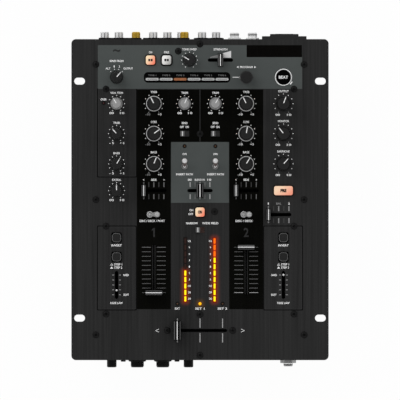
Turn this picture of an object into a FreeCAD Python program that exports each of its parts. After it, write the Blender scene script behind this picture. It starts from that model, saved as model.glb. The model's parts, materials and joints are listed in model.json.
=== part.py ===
# A two-channel DJ mixer on a ten-inch rack panel, built as a bench technician would take it apart.
# Frame: +Z up, +Y towards the rear connectors, origin on the floor under the middle of the panel.
# Every control is drawn about its own axis with its zero height at the panel's upper face.
import FreeCAD, Part
import os
import re
import Sketcher
from FreeCAD import Placement, Rotation, Vector

# Driving sizes, in millimetres, degrees and counts
SIZES = {
    # control panel and rack slots
    "panel_width": 254, "panel_depth": 317, "panel_thick": 2, "panel_corner": 4.5, "panel_top": 90,
    "rack_pitch_x": 237.8, "rack_pitch_y": 234, "rack_slot_long": 10.6, "rack_slot_wide": 6.8,
    # folded chassis tray, end plates and feet
    "tray_width": 216, "tray_sheet": 1.2, "tray_flange": 11, "tray_bend": 2.4, "tray_seam": 0.2,
    "plate_thick": 1.5, "plate_setback": 1.5, "plate_flange": 7, "flange_end": 18, "edge_reach": 7.4,
    "foot_tall": 8, "foot_r": 8.5, "foot_top_r": 10, "foot_hole_r": 2, "foot_well_r": 5, "foot_floor": 3,
    "foot_x": 90, "foot_y": 130, "foot_screw_head_r": 3.6, "foot_screw_long": 7,
    # screws and standoffs
    "screw_r": 1.5, "screw_head_r": 2.95, "screw_head_tall": 1.6, "screw_dome": 0.9, "screw_crown": 2.6, "screw_long": 8,
    "screw_gap": 0.2, "socket_r": 1.1, "socket_deep": 0.9, "front_head_r": 2.3, "front_head_tall": 2.9, "standoff_r": 2.6,
    "rail_x": 102.8, "rail_y": 133.5, "post_x": 92.8, "post_rear": 109.2, "post_mid": -26.2, "post_front": -112.9,
    "end_screw_y": 153.6, "meter_screw_y": -113.3, "core_screw_y": 65, "core_side_x": 14.4, "core_side_y": -11.9,
    "fx_screw_x": -21.5, "fx_screw_y": 146.6, "fade_screw_x": 32.3,
    # circuit boards
    "board_drop": 16.4, "board_thick": 1.6, "board_width": 196, "board_front": 149, "board_rear": 149.4,
    "power_width": 66, "power_depth": 84, "power_x": 62, "power_y": 84, "power_lift": 5, "power_post_r": 3,
    "power_post_inset": 6, "core_width": 44, "core_depth": 36, "core_tall": 34, "coil_width": 26, "coil_tall": 30,
    # columns and rows of the controls
    "col_outer": 82.4, "col_channel": 45.6, "col_gain": 15.2,
    "row_fx_button": 137.8, "row_fx_knob": 120.9, "row_high": 94.8, "row_mid": 65.2, "row_low": 35.3,
    "row_pan": 8.9, "row_input": -14.6, "row_lamp": -102.8, "row_fade": -69.4, "row_cross": -129.2,
    # rotary controls: shaft, potentiometer and knobs
    "shaft_r": 3, "shaft_gap": 0.3, "shaft_hole_gap": 0.8, "knob_bore_gap": 0.05, "knob_lift": 0.8,
    "knob_roof": 2.5, "knob_edge": 0.8, "pot_side": 9.6, "pot_tall": 8.4, "pot_floor": 1, "pot_neck": 0.7,
    "pointer_wide": 0.85, "pointer_deep": 0.4, "pointer_start": 0.5,
    "cone_r": 6.5, "cone_foot_r": 6.1, "cone_top_r": 4.9, "cone_tall": 13, "cone_rim": 1,
    "dial_ring_r": 7.75, "dial_ring_in": 6, "dial_ring_tall": 1.6, "dial_ring_edge": 0.35,
    "dial_foot_r": 7, "dial_top_r": 6.4, "dial_tall": 14.5, "dial_ribs": 15, "rib_wide": 0.9, "rib_deep": 0.4,
    "master_r": 7.2, "push_dial_r": 5.7, "push_dial_tall": 12, "push_ribs": 24, "push_rib_r": 0.35,
    "fx_assign_turn": 40, "fx_frequency_turn": -59, "mic_gain_turn": -32, "mic_high_turn": -42,
    "mic_low_turn": 32, "aux_in_turn": 0, "ch1_gain_turn": 22, "ch1_high_turn": -26, "ch1_mid_turn": 54,
    "ch1_low_turn": 22, "ch2_gain_turn": 28, "ch2_high_turn": -26, "ch2_mid_turn": 10, "ch2_low_turn": 32,
    "master_turn": 20, "aux_out_turn": -38, "cue_gain_turn": 42, "fx_frequency_x": -10.4, "fx_select_x": 45.8,
    # slide controls: lever, slide potentiometer and caps
    "lever_wide": 2.4, "lever_thick": 1.2, "lever_gap": 0.4, "lever_end": 1.3, "lever_deep": 7, "slot_wide": 3.3,
    "track_wide": 9, "track_tall": 12, "track_deep": 9, "track_wall": 4, "cap_gap": 1.2, "cap_roof": 2,
    "cap_lever_gap": 0.05, "cap_edge": 0.8, "cap_draft": 0.7, "cap_line": 0.9, "cap_line_deep": 0.3,
    "short_travel": 20, "fade_travel": 45, "cross_end": 3.15, "cross_ear": 9.5, "cross_wide": 12,
    "pan_cap_long": 12, "pan_cap_wide": 4.5, "pan_cap_tall": 8, "fx_cap_long": 13, "fx_cap_wide": 5.8,
    "loop_cap_long": 14.4, "loop_cap_wide": 6.8, "fade_cap_long": 17.7, "fade_cap_wide": 5, "fade_cap_tall": 10,
    "cross_cap_long": 19.6, "cross_cap_wide": 7.2, "cross_cap_tall": 10.5,
    "intensity_x": 20.2, "cue_mix_x": 77.7, "cue_mix_y": -14.8,
    "contour_y": -84.2, "contour_end": 2.85, "contour_stub_r": 0.95, "contour_stub_tall": 2.4, "ch1_contour_at": -5.3,
    # small slide switches
    "switch_window_long": 9, "switch_window_wide": 5.7, "nub_long": 4.2, "nub_gap": 0.3, "nub_tall": 2.6,
    "nub_travel": 4.2, "switch_body_long": 13, "switch_body_wide": 7, "switch_neck": 2, "mono_y": -29.9,
    # bat-lever toggle switches
    "bush_r": 3, "bush_bore_r": 2.1, "bush_tall": 1.5, "bush_hole_gap": 0.15, "bush_lip": 0.35, "ball_r": 1.8,
    "ball_lift": 0.7, "bat_neck_r": 1.1, "bat_neck_long": 6, "bat_root_r": 2, "bat_tip_r": 2.8, "bat_long": 13.5,
    "toggle_long": 12, "toggle_wide": 8, "toggle_tall": 12,
    "wide_tilt": 32, "loop_tilt": 23, "ch1_toggle_x": -49.5, "ch2_toggle_x": 43.2, "loop_toggle_y": 33,
    # push buttons
    "key_side": 9.1, "key_corner": 2.1, "key_gap": 0.3, "bezel_wall": 0.6, "bezel_rise": 0.5, "key_rise": 3,
    "key_well": 6, "key_floor_gap": 1.8, "key_edge": 0.6, "bezel_gap": 0.1, "long_key": 18.6,
    "soft_key": 8.7, "soft_corner": 2.9, "soft_well_corner": 1.2,
    "fx_on_x": -48.9, "fx_cue_x": -33, "fx_center_y": -12.3,
    "tap_r": 7.2, "tap_ring_wall": 0.9, "tap_ring_rise": 0.6, "round_key_r": 4.3, "round_collar": 0.5,
    "round_key_rise": 2.2, "round_edge": 0.9, "reverse_y": -37.5, "mode_y": -56.5,
    # lamps, meters and display strip
    "lamp_r": 1.5, "lamp_gap": 0.15, "lamp_rise": 0.9, "lamp_x": 22.3, "loop_lamp_y": 52.8,
    "peak_lamp_x": -95.2, "peak_lamp_y": 95.3, "meter_x": 14.45, "meter_wide": 4, "meter_long": 65,
    "lens_gap": 0.1, "lens_sink": 0.2, "display_x": -12.7, "display_y": 120.7, "display_long": 85.3,
    "display_wide": 10.3, "display_corner": 4,
    # rear connectors
    "rca_upper_z": 50, "rca_lower_z": 34, "rca_a1": -94.4, "rca_a2": -80.3, "rca_b1": -46.4, "rca_b2": -32.3,
    "rca_b3": -18.4, "rca_c1": 2, "rca_c2": 16, "rca_boss_r": 6, "rca_boss": 2.2, "rca_neck_r": 4.9,
    "rca_sleeve_r": 4.15, "rca_sleeve_in": 3.5, "rca_seat_gap": 0.05, "rca_pin_r": 1.6, "rca_pin_deep": 6,
    "rca_body_r": 5.5, "rca_body_long": 9, "rca_lip": 0.8, "hole_gap": 0.1,
    "ground_x1": -63.3, "ground_x2": -15.4, "ground_z": 64, "ground_foot_r": 5, "ground_foot": 1.4,
    "ground_stud_r": 2, "ground_nut_r": 4.05, "ground_nut_gap": 0.8, "ground_edge": 0.7, "ground_tail": 6,
    "jack_x1": 34.1, "jack_x2": 51.9, "jack_z": 60, "jack_bore_r": 3.2, "jack_barrel_r": 4.5, "jack_nut_r": 6.4,
    "jack_nut_tall": 3, "jack_reach": 7.1, "jack_side": 14, "jack_long": 20, "jack_bore_long": 22,
    "inlet_x": 83.4, "inlet_z": 44, "inlet_wide": 28.1, "inlet_tall": 46, "inlet_flange_wide": 44,
    "inlet_flange": 4.2, "inlet_proud": 6.1, "inlet_long": 22, "inlet_corner": 2, "inlet_gap": 0.2,
    "well_wide": 24, "well_tall": 16.4, "well_deep": 17, "well_z": -11, "well_corner": 3,
    "blade_wide": 2, "blade_tall": 4, "blade_long": 11, "blade_pitch": 7, "blade_drop": 2,
    "rocker_z": 12, "rocker_wide": 18, "rocker_tall": 13, "rocker_thick": 6, "rocker_gap": 0.9, "rocker_tilt": 7,
    "rocker_deep": 8, "rocker_rise": 0.5, "rocker_pin_r": 1, "rocker_pin_gap": 0.05,
    # front edge controls
    "front_z": 60, "front_key_left": -87.3, "front_key_right": -11.4, "front_dial_left": -62, "front_dial_right": -36.8,
    "front_screw_left": -75.9, "front_screw_right": -22.8, "phones_x": 87.2, "phones_nut_r": 7.8, "phones_nut_tall": 4.6,
    "front_dial_r": 6.25, "front_skirt_r": 8.7, "front_skirt": 2, "front_pot_long": 8, "front_key_long": 10,
}

doc = FreeCAD.newDocument("dj_mixer")
sheet = doc.addObject("Spreadsheet::Sheet", "Sizes")
for row, (name, value) in enumerate(SIZES.items(), 1):
    sheet.set("A%d" % row, name)
    sheet.set("B%d" % row, str(value))
    sheet.setAlias("B%d" % row, name)
doc.recompute()

# Heights and depths that several pieces share, as formulas over the sizes
UNDER = "(0 - panel_thick)"
DECK = "(0 - panel_thick - board_drop)"
PANEL_UNDER = "(panel_top - panel_thick)"
TRAY_FLOOR = "(foot_tall + tray_sheet)"
END_FACE = "(panel_depth / 2 - plate_setback)"
REACH = "(plate_setback + edge_reach)"


# Formulas and bound properties
def bound(formula):
    def cell(match):
        word = match.group()
        return "Sizes." + word if word in SIZES else word
    return re.sub(r"[a-z]\w*", cell, formula)


def number(formula):
    return float(sheet.evalExpression(bound(formula)))


def bind(item, **formulas):
    for prop, formula in formulas.items():
        item.setExpression(prop, bound(formula))


def put(item, x="0", y="0", z="0", turn=None, axis=(0, 0, 1)):
    if turn is not None:
        item.Placement = Placement(Vector(), Rotation(Vector(*axis), number(turn)))
        item.setExpression("Placement.Rotation.Angle", bound("(%s) * 1 deg" % turn))
    for letter, formula in zip("xyz", (x, y, z)):
        item.setExpression("Placement.Base." + letter, bound(formula))
    return item


# Solid primitives, centred on their own axis and standing on the height z
def box(name, wide, deep, tall, x="0", y="0", z="0"):
    item = doc.addObject("Part::Box", name)
    bind(item, Length=wide, Width=deep, Height=tall)
    return put(item, "%s - (%s) / 2" % (x, wide), "%s - (%s) / 2" % (y, deep), z)


def cylinder(name, radius, tall, x="0", y="0", z="0"):
    item = doc.addObject("Part::Cylinder", name)
    bind(item, Radius=radius, Height=tall)
    return put(item, x, y, z)


def cone(name, low_r, high_r, tall, z="0"):
    item = doc.addObject("Part::Cone", name)
    bind(item, Radius1=low_r, Radius2=high_r, Height=tall)
    return put(item, z=z)


def hexagon(name, radius, tall, z="0"):
    item = doc.addObject("Part::Prism", name)
    item.Polygon = 6
    bind(item, Circumradius=radius, Height=tall)
    return put(item, z=z)


def fuse(name, *shapes):
    item = doc.addObject("Part::MultiFuse", name)
    item.Shapes = list(shapes)
    return item


def cut(name, base, *tools):
    item = doc.addObject("Part::Cut", name)
    item.Base = base
    item.Tool = tools[0] if len(tools) == 1 else fuse(name + "_tools", *tools)
    return item


# Sketches on a body's own planes
def body(name):
    return doc.addObject("PartDesign::Body", name)


def origin_feature(owner, role):
    return next(item for item in owner.Origin.OriginFeatures if item.Role == role)


def sketch(owner, name, plane="XY_Plane", lift=None):
    item = owner.newObject("Sketcher::SketchObject", owner.Name + "_" + name)
    item.AttachmentSupport = [(origin_feature(owner, plane), "")]
    item.MapMode = "FlatFace"
    if lift is not None:
        item.setExpression("AttachmentOffset.Base.z", bound(lift))
    return item


def pin_point(item, part, spot, x, y):
    for kind, formula, axis_id in (("DistanceX", x, -2), ("DistanceY", y, -1)):
        if formula == "0":
            item.addConstraint(Sketcher.Constraint("PointOnObject", part, spot, axis_id))
        else:
            index = item.addConstraint(Sketcher.Constraint(kind, -1, 1, part, spot, number(formula)))
            item.setExpression("Constraints[%d]" % index, bound(formula))


def pin_radius(item, part, radius):
    index = item.addConstraint(Sketcher.Constraint("Radius", part, number(radius)))
    item.setExpression("Constraints[%d]" % index, bound(radius))


def bulge(start, end, radius):
    # The short arc from start to end, counter-clockwise
    chord = end - start
    left = Vector(-chord.y, chord.x, 0).normalize()
    rise = max(radius ** 2 - (chord.Length / 2) ** 2, 0) ** 0.5
    circle = Part.Circle((start + end) * 0.5 + left * rise, Vector(0, 0, 1), radius)
    return Part.ArcOfCircle(circle, circle.parameter(start), circle.parameter(end))


def draw_lines(item, points):
    # A closed outline; a point with a third formula starts an arc of that radius to the next point
    corners = [Vector(number(point[0]), number(point[1]), 0) for point in points]
    first = item.GeometryCount
    count = len(corners)
    for index, point in enumerate(points):
        start, end = corners[index], corners[(index + 1) % count]
        if len(point) == 3:
            item.addGeometry(bulge(start, end, number(point[2])))
        else:
            item.addGeometry(Part.LineSegment(start, end))
    for index, point in enumerate(points):
        follower = first + (index + 1) % count
        item.addConstraint(Sketcher.Constraint("Coincident", first + index, 2, follower, 1))
        pin_point(item, first + index, 1, point[0], point[1])
        if len(point) == 3:
            pin_radius(item, first + index, point[2])


def draw_circle(item, x, y, radius):
    circle = Part.Circle(Vector(number(x), number(y), 0), Vector(0, 0, 1), number(radius))
    index = item.addGeometry(circle)
    pin_point(item, index, 3, x, y)
    pin_radius(item, index, radius)


def draw_round_loop(item, centres, radius):
    # Arcs about the centres, in counter-clockwise order, joined by tangent lines
    spots = [Vector(number(x), number(y), 0) for x, y in centres]
    size = number(radius)
    count = len(spots)
    first = item.GeometryCount
    sides = []
    for index, spot in enumerate(spots):
        run = spots[(index + 1) % count] - spot
        out = Vector(run.y, -run.x, 0).normalize() * size
        sides.append((spot + out, spots[(index + 1) % count] + out))
    for index, spot in enumerate(spots):
        start = sides[index - 1][1] - spot
        end = sides[index][0] - spot
        circle = Part.Circle(spot, Vector(0, 0, 1), size)
        arc = Part.ArcOfCircle(circle, circle.parameter(spot + start), circle.parameter(spot + end))
        item.addGeometry(arc)
        item.addGeometry(Part.LineSegment(*sides[index]))
    for index in range(count):
        arc = first + 2 * index
        line = arc + 1
        after = first + 2 * ((index + 1) % count)
        item.addConstraint(Sketcher.Constraint("Tangent", arc, 2, line, 1))
        item.addConstraint(Sketcher.Constraint("Tangent", line, 2, after, 1))
        pin_point(item, arc, 3, *centres[index])
        if index:
            item.addConstraint(Sketcher.Constraint("Equal", first, arc))
    pin_radius(item, first, radius)


def draw_slot(item, x, y, long, wide, along):
    half = "(%s - %s) / 2" % (long, wide)
    if along == "x":
        ends = [("%s - %s" % (x, half), y), ("%s + %s" % (x, half), y)]
    else:
        ends = [(x, "%s - %s" % (y, half)), (x, "%s + %s" % (y, half))]
    draw_round_loop(item, ends, "%s / 2" % wide)


def draw_window(item, x, y, wide, tall, radius):
    across = "((%s) / 2 - (%s))" % (wide, radius)
    up = "((%s) / 2 - (%s))" % (tall, radius)
    signs = (("-", "-"), ("+", "-"), ("+", "+"), ("-", "+"))
    centres = [("%s %s %s" % (x, side, across), "%s %s %s" % (y, rise, up)) for side, rise in signs]
    draw_round_loop(item, centres, radius)


# Features made from sketches
def pad(owner, profile, length, both_ways=False, backwards=False):
    item = owner.newObject("PartDesign::Pad", profile.Name + "_pad")
    item.Profile = profile
    item.SideType = "Symmetric" if both_ways else "One side"
    item.Reversed = backwards
    bind(item, Length=length)
    return item


def pocket(owner, profile, depth=None, both_ways=False, backwards=False):
    item = owner.newObject("PartDesign::Pocket", profile.Name + "_cut")
    item.Profile = profile
    item.Reversed = backwards
    if depth is None:
        item.Type = "ThroughAll"
        item.SideType = "Symmetric"
    else:
        item.SideType = "Symmetric" if both_ways else "One side"
        bind(item, Length=depth)
    return item


def turned(name, points):
    # A solid of revolution about Z from its half profile of (radius, height) points
    owner = body(name)
    profile = sketch(owner, "profile", "XZ_Plane")
    draw_lines(profile, points)
    item = owner.newObject("PartDesign::Revolution", name + "_turn")
    item.Profile = profile
    item.ReferenceAxis = (profile, ["V_Axis"])
    item.Angle = 360
    return owner


def around(owner, feature, count):
    item = owner.newObject("PartDesign::PolarPattern", feature.Name + "_ring")
    item.Originals = [feature]
    item.Axis = (origin_feature(owner, "Z_Axis"), [""])
    item.Angle = 360
    bind(item, Occurrences=count)
    owner.Tip = item
    return item


def soften(owner, feature, radius, height):
    # A fillet on every edge that lies in the plane at this height
    doc.recompute()
    level = number(height)
    edges = []
    for index, edge in enumerate(feature.Shape.Edges, 1):
        span = edge.BoundBox
        if abs(span.ZMin - level) < 1e-4 and abs(span.ZMax - level) < 1e-4:
            edges.append("Edge%d" % index)
    item = owner.newObject("PartDesign::Fillet", feature.Name + "_edge")
    item.Base = (feature, edges)
    bind(item, Radius=radius)
    return item


# Assembly lists that the controls fill as they are placed
nodes = []
panel_holes = []
panel_slots = []
panel_windows = []
control_bodies = []
lamps = []
fasteners = []
front_holes = []
rear_holes = []


def group(name, members, x="0", y="0", z="0", turn=None, axis=(0, 0, 1)):
    item = doc.addObject("Part::Compound", name)
    item.Links = members
    return put(item, x, y, z, turn, axis)


def node(name, members, x="0", y="0", z="0", turn=None, axis=(0, 0, 1)):
    item = group(name, members, x, y, z, turn, axis)
    nodes.append(item)
    return item


# Rotary controls
def knob_shaft(name, tall):
    top = "knob_lift + %s - knob_roof" % tall
    floor = "(%s + pot_floor)" % DECK
    return cylinder(name, "shaft_r", "%s - %s" % (top, floor), z=floor)


def knob_cap(name, skirt, foot_r, top_r, tall, rim):
    # skirt lists the profile's points from the bore's mouth out to the flank's foot
    top = "knob_lift + %s" % tall
    bore = "shaft_r + knob_bore_gap"
    flank = [(top_r, top + " - knob_edge"), (top_r + " - knob_edge", top), ("0", top)]
    hollow = [("0", top + " - knob_roof"), (bore, top + " - knob_roof"), (bore, "knob_lift")]
    return turned(name, skirt + [(foot_r, "knob_lift + " + rim)] + flank + hollow)


def pointer_outline(foot_r, top_r, tall, rim):
    # The pointer's inner edge, a set depth under the knob's top and flank
    top = "knob_lift + %s" % tall
    return [
        ("pointer_start", top + " - pointer_deep"),
        (top_r + " - knob_edge", top + " - pointer_deep"),
        (top_r + " - pointer_deep", top + " - knob_edge"),
        (foot_r + " - pointer_deep", "knob_lift + " + rim),
    ]


def add_pointer(cap, foot_r, top_r, tall, rim):
    # A groove in the cap, and the inlay that fills it flush with the top and flank
    top = "knob_lift + %s" % tall
    inner = pointer_outline(foot_r, top_r, tall, rim)
    clear = foot_r + " + knob_edge"
    groove = sketch(cap, "groove", "YZ_Plane")
    outside = [(clear, "knob_lift + " + rim), (clear, top + " + knob_edge"), ("pointer_start", top + " + knob_edge")]
    draw_lines(groove, inner + outside)
    pocket(cap, groove, "pointer_wide", both_ways=True)
    inlay = body(cap.Name + "_pointer")
    face = sketch(inlay, "face", "YZ_Plane")
    outer = [(foot_r, "knob_lift + " + rim), (top_r, top + " - knob_edge"), (top_r + " - knob_edge", top),
             ("pointer_start", top)]
    draw_lines(face, inner + outer)
    pad(inlay, face, "pointer_wide", both_ways=True)
    return inlay


def add_ribs(cap, foot_r, top_r, tall, rim):
    # Grip grooves up the flank, an odd count from the back so that none meets the pointer
    top = "knob_lift + %s" % tall
    clear = "0 - %s - knob_edge" % foot_r
    grip = sketch(cap, "grip", "YZ_Plane")
    draw_lines(grip, [
        (clear, "knob_lift + %s - knob_edge" % rim),
        ("0 - (%s - rib_deep)" % foot_r, "knob_lift + %s - knob_edge" % rim),
        ("0 - (%s - rib_deep)" % foot_r, "knob_lift + " + rim),
        ("0 - (%s - rib_deep)" % top_r, top + " - knob_edge"),
        ("0 - (%s - rib_deep)" % top_r, top + " + knob_edge"),
        (clear, top + " + knob_edge"),
    ])
    return around(cap, pocket(cap, grip, "rib_wide", both_ways=True), "dial_ribs")


def cone_knob():
    skirt = [("cone_r", "knob_lift"), ("cone_r", "knob_lift + cone_rim")]
    cap = knob_cap("cone_cap", skirt, "cone_foot_r", "cone_top_r", "cone_tall", "cone_rim")
    inlay = add_pointer(cap, "cone_foot_r", "cone_top_r", "cone_tall", "cone_rim")
    return [cap, inlay, knob_shaft("cone_shaft", "cone_tall")]


def dial_knob():
    # A ribbed cap that sits over a bright trim ring
    inside = "dial_ring_in - knob_bore_gap"
    skirt = [(inside, "knob_lift"), (inside, "knob_lift + dial_ring_tall")]
    shape = ("dial_foot_r", "dial_top_r", "dial_tall", "dial_ring_tall")
    cap = knob_cap("dial_cap", skirt, *shape)
    add_ribs(cap, *shape)
    inlay = add_pointer(cap, *shape)
    ring_top = "knob_lift + dial_ring_tall"
    ring = turned("dial_ring", [
        ("dial_ring_in", "knob_lift"), ("dial_ring_r", "knob_lift"), ("dial_ring_r", ring_top + " - dial_ring_edge"),
        ("dial_ring_r - dial_ring_edge", ring_top), ("dial_ring_in", ring_top)])
    return [cap, inlay, ring, knob_shaft("dial_shaft", "dial_tall")]


def master_knob():
    skirt = [("master_r", "knob_lift"), ("master_r", "knob_lift + cone_rim")]
    shape = ("dial_foot_r", "dial_top_r", "dial_tall", "cone_rim")
    cap = knob_cap("master_cap", skirt, *shape)
    add_ribs(cap, *shape)
    inlay = add_pointer(cap, *shape)
    return [cap, inlay, knob_shaft("master_shaft", "dial_tall")]


def select_knob():
    # The push-turn selector has fine scallops and no pointer
    skirt = [("push_dial_r", "knob_lift")]
    cap = knob_cap("select_cap", skirt, "push_dial_r", "push_dial_r", "push_dial_tall", "cone_rim")
    scallop = sketch(cap, "scallop")
    draw_circle(scallop, "push_dial_r", "0", "push_rib_r")
    around(cap, pocket(cap, scallop), "push_ribs")
    return [cap, knob_shaft("select_shaft", "push_dial_tall")]


def rotary_pot():
    case = box("pot_case", "pot_side", "pot_side", "pot_tall", z=DECK)
    neck_tall = "board_drop - pot_tall - pot_neck"
    neck = cylinder("pot_neck", "shaft_r + shaft_gap + pot_neck", neck_tall, z="%s + pot_tall" % DECK)
    bore = cylinder("pot_bore", "shaft_r + shaft_gap", "board_drop", z="%s + pot_floor - shaft_gap" % DECK)
    return cut("rotary_pot", fuse("pot_outside", case, neck), bore)


# Slide controls: a cap on a flat lever that runs in a slotted track
def slide_cap(name, long, wide, tall, track_top=DECK + " + track_tall"):
    # Section across the travel: drawn-in flanks and a line groove along the top
    cap = body(name)
    top = "cap_gap + %s" % tall
    section = sketch(cap, "section", "XZ_Plane")
    half = "%s / 2" % wide
    draw_lines(section, [
        ("0 - " + half, "cap_gap"), (half, "cap_gap"), (half + " - cap_draft", top),
        ("cap_line / 2", top), ("cap_line / 2", top + " - cap_line_deep"),
        ("0 - cap_line / 2", top + " - cap_line_deep"), ("0 - cap_line / 2", top), ("0 - %s + cap_draft" % half, top)])
    pad(cap, section, long, both_ways=True)
    ends = sketch(cap, "ends", "YZ_Plane")
    for side in ("", "0 - "):
        reach = "%s(%s / 2 + cap_edge)" % (side, long)
        foot = "%s(%s / 2)" % (side, long)
        lean = "%s(%s / 2 - cap_draft)" % (side, long)
        draw_lines(ends, [(foot, "cap_gap"), (reach, "cap_gap"), (reach, top + " + cap_edge"), (lean, top + " + cap_edge"),
                          (lean, top)])
    pocket(cap, ends, wide + " * 2", both_ways=True)
    socket = sketch(cap, "socket")
    span = "(lever_wide / 2 + cap_lever_gap)"
    thick = "(lever_thick / 2 + cap_lever_gap)"
    draw_lines(socket, [("0 - " + span, "0 - " + thick), (span, "0 - " + thick), (span, thick), ("0 - " + span, thick)])
    pocket(cap, socket, "%s - cap_roof" % top, backwards=True)
    foot = "(%s - lever_deep)" % track_top
    lever_tall = "%s - cap_roof - %s" % (top, foot)
    lever = box(name + "_lever", "lever_wide", "lever_thick", lever_tall, z=foot)
    return [cap, lever]


def slide_track(name, slot_long, wide="track_wide", hung=False):
    # The crossfader's track hangs from the panel; the others stand on the board
    floor = "%s - track_tall" % UNDER if hung else DECK
    wall = "cross_ear" if hung else "track_wall"
    case = box(name + "_case", "%s + 2 * %s" % (slot_long, wall), wide, "track_tall", z=floor)
    trench_wide = "lever_thick + 2 * lever_gap"
    trench = box(name + "_trench", slot_long, trench_wide, "track_tall", z="%s + track_tall - track_deep" % floor)
    tools = [trench]
    if hung:
        for side in ("", "0 - "):
            x = side + "fade_screw_x"
            tools.append(cylinder(name + "_hole", "screw_r + screw_gap", "track_tall + panel_thick", x, z=floor))
    return cut(name, case, *tools)


SHORT_SLOT = "(short_travel + lever_wide + 2 * lever_end)"
FADE_SLOT = "(fade_travel + lever_wide + 2 * lever_end)"
CROSS_SLOT = "(fade_travel + lever_wide + 2 * cross_end)"
CONTOUR_SLOT = "(short_travel + 2 * contour_stub_r + 2 * contour_end)"


def slider(name, cap, track, slot_long, x, y, offset, along="x"):
    turn = None if along == "x" else "90"
    shift = {"x": x, "y": y}
    shift[along] = "%s + (%s)" % (shift[along], offset)
    node(name, cap, shift["x"], shift["y"], "panel_top", turn)
    control_bodies.append(group(name + "_track", [track], x, y, "panel_top", turn))
    panel_slots.append((x, y, slot_long, "slot_wide", along))


def contour_stub():
    foot = "(%s + track_tall - lever_deep)" % DECK
    blade = cylinder("contour_stub", "contour_stub_r", "contour_stub_tall - %s" % foot, z=foot)
    return [blade]


def contour_track():
    case = box("contour_case", CONTOUR_SLOT + " + 2 * track_wall", "track_wide", "track_tall", z=DECK)
    trench_wide = "2 * contour_stub_r + 2 * lever_gap"
    trench = box("contour_trench", CONTOUR_SLOT, trench_wide, "track_tall", z="%s + track_tall - track_deep" % DECK)
    return cut("contour_track", case, trench)


# Small slide switches
def switch_nub():
    wide = "switch_window_wide - 2 * nub_gap"
    return [box("switch_nub", "nub_long", wide, "nub_tall + panel_thick + switch_neck - nub_gap",
                z="%s - switch_neck + nub_gap" % UNDER)]


def switch_case():
    return box("switch_case", "switch_body_long", "switch_body_wide", "board_drop - switch_neck", z=DECK)


def slide_switch(name, x, y):
    node(name, nub_parts, "%s - nub_travel / 2" % x, y, "panel_top")
    control_bodies.append(group(name + "_case", [switch_body], x, y, "panel_top"))
    panel_windows.append((x, y, "switch_window_long", "switch_window_wide", "nub_gap"))


# Bat-lever toggle switches, drawn upright about the ball's centre
BALL_HEIGHT = "(bush_tall - ball_r + ball_lift)"


def toggle_bat():
    shoulder = "sqrt(ball_r * ball_r - bat_neck_r * bat_neck_r)"
    bat = turned("toggle_bat", [
        ("0", "0 - ball_r", "ball_r"), ("ball_r", "0", "ball_r"), ("bat_neck_r", shoulder),
        ("bat_neck_r", "bat_neck_long"), ("bat_root_r", "bat_neck_long + bat_root_r - bat_neck_r"),
        ("bat_tip_r", "bat_long", "bat_tip_r"), ("0", "bat_long + bat_tip_r")])
    return [bat]


def toggle_case():
    case = box("toggle_case", "toggle_wide", "toggle_long", "toggle_tall", z=DECK)
    bush_tall = "board_drop - toggle_tall + panel_thick + bush_tall"
    bush = cylinder("toggle_bush", "bush_r", bush_tall, z="%s + toggle_tall" % DECK)
    bore = cylinder("toggle_bore", "bush_bore_r", bush_tall + " + bush_tall",
                    z="%s + toggle_tall + bush_tall" % DECK)
    flare = cone("toggle_flare", "bush_bore_r", "bush_r - bush_lip", "bush_tall - " + BALL_HEIGHT, z=BALL_HEIGHT)
    return cut("toggle_body", fuse("toggle_outside", case, bush), bore, flare)


def toggle(name, x, y, tilt, axis):
    node(name, bat_parts, x, y, "panel_top + " + BALL_HEIGHT, tilt, axis)
    control_bodies.append(group(name + "_switch", [toggle_body], x, y, "panel_top"))
    panel_holes.append((x, y, "bush_r + bush_hole_gap"))


# Push buttons: a cap that travels in the well of its switch
KEY_FLOOR = "(0 - key_well + key_floor_gap)"


def key_cap(name, wide, tall="key_side", corner="key_corner", top="bezel_rise + key_rise"):
    cap = body(name)
    outline = sketch(cap, "outline", lift=KEY_FLOOR)
    draw_window(outline, "0", "0", wide, tall, corner)
    block = pad(cap, outline, "%s - %s" % (top, KEY_FLOOR))
    soften(cap, block, "key_edge", top)
    return [cap]


def key_switch(name, wide, tall="key_side", corner="key_corner + key_gap", wall="bezel_wall", top="bezel_rise"):
    inner = "(%s + 2 * key_gap)"
    outer = "(%s + 2 * key_gap + 2 * " + wall + ")"
    case = body(name)
    outline = sketch(case, "outline", lift=DECK)
    draw_window(outline, "0", "0", outer % wide, outer % tall, "%s + %s" % (corner, wall))
    pad(case, outline, "%s - %s" % (top, DECK))
    well = sketch(case, "well", lift=top)
    draw_window(well, "0", "0", inner % wide, inner % tall, corner)
    pocket(case, well, "key_well + " + top)
    return case


def square_key(name, cap, switch, x, y, wide, tall="key_side", corner="key_corner + key_gap", wall="bezel_wall"):
    node(name, cap, x, y, "panel_top")
    control_bodies.append(group(name + "_switch", [switch], x, y, "panel_top"))
    opening = "(%s + 2 * key_gap + 2 * " + wall + " + 2 * bezel_gap)"
    panel_windows.append((x, y, opening % wide, opening % tall, "%s + %s + bezel_gap" % (corner, wall)))


def round_cap(name, radius, rise, floor):
    return [turned(name, [
        ("0", floor), (radius, floor), (radius, rise + " - round_edge", "round_edge"), (radius + " - round_edge", rise),
        ("0", rise)])]


def round_switch(name, radius, floor):
    # The collar stands on the switch's block and guides the cap
    bore = radius + " + key_gap"
    wall = bore + " + round_collar"
    return turned(name, [
        ("0", floor), (wall, floor), (wall, "0"), (bore, "0"), (bore, "0 - key_well"), ("0", "0 - key_well")])


def tap_ring():
    inner = "tap_r + key_gap"
    outer = inner + " + tap_ring_wall"
    return turned("tap_ring", [(inner, "0 - key_well"), (outer, "0 - key_well"), (outer, "tap_ring_rise"),
                               (inner, "tap_ring_rise")])


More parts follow.
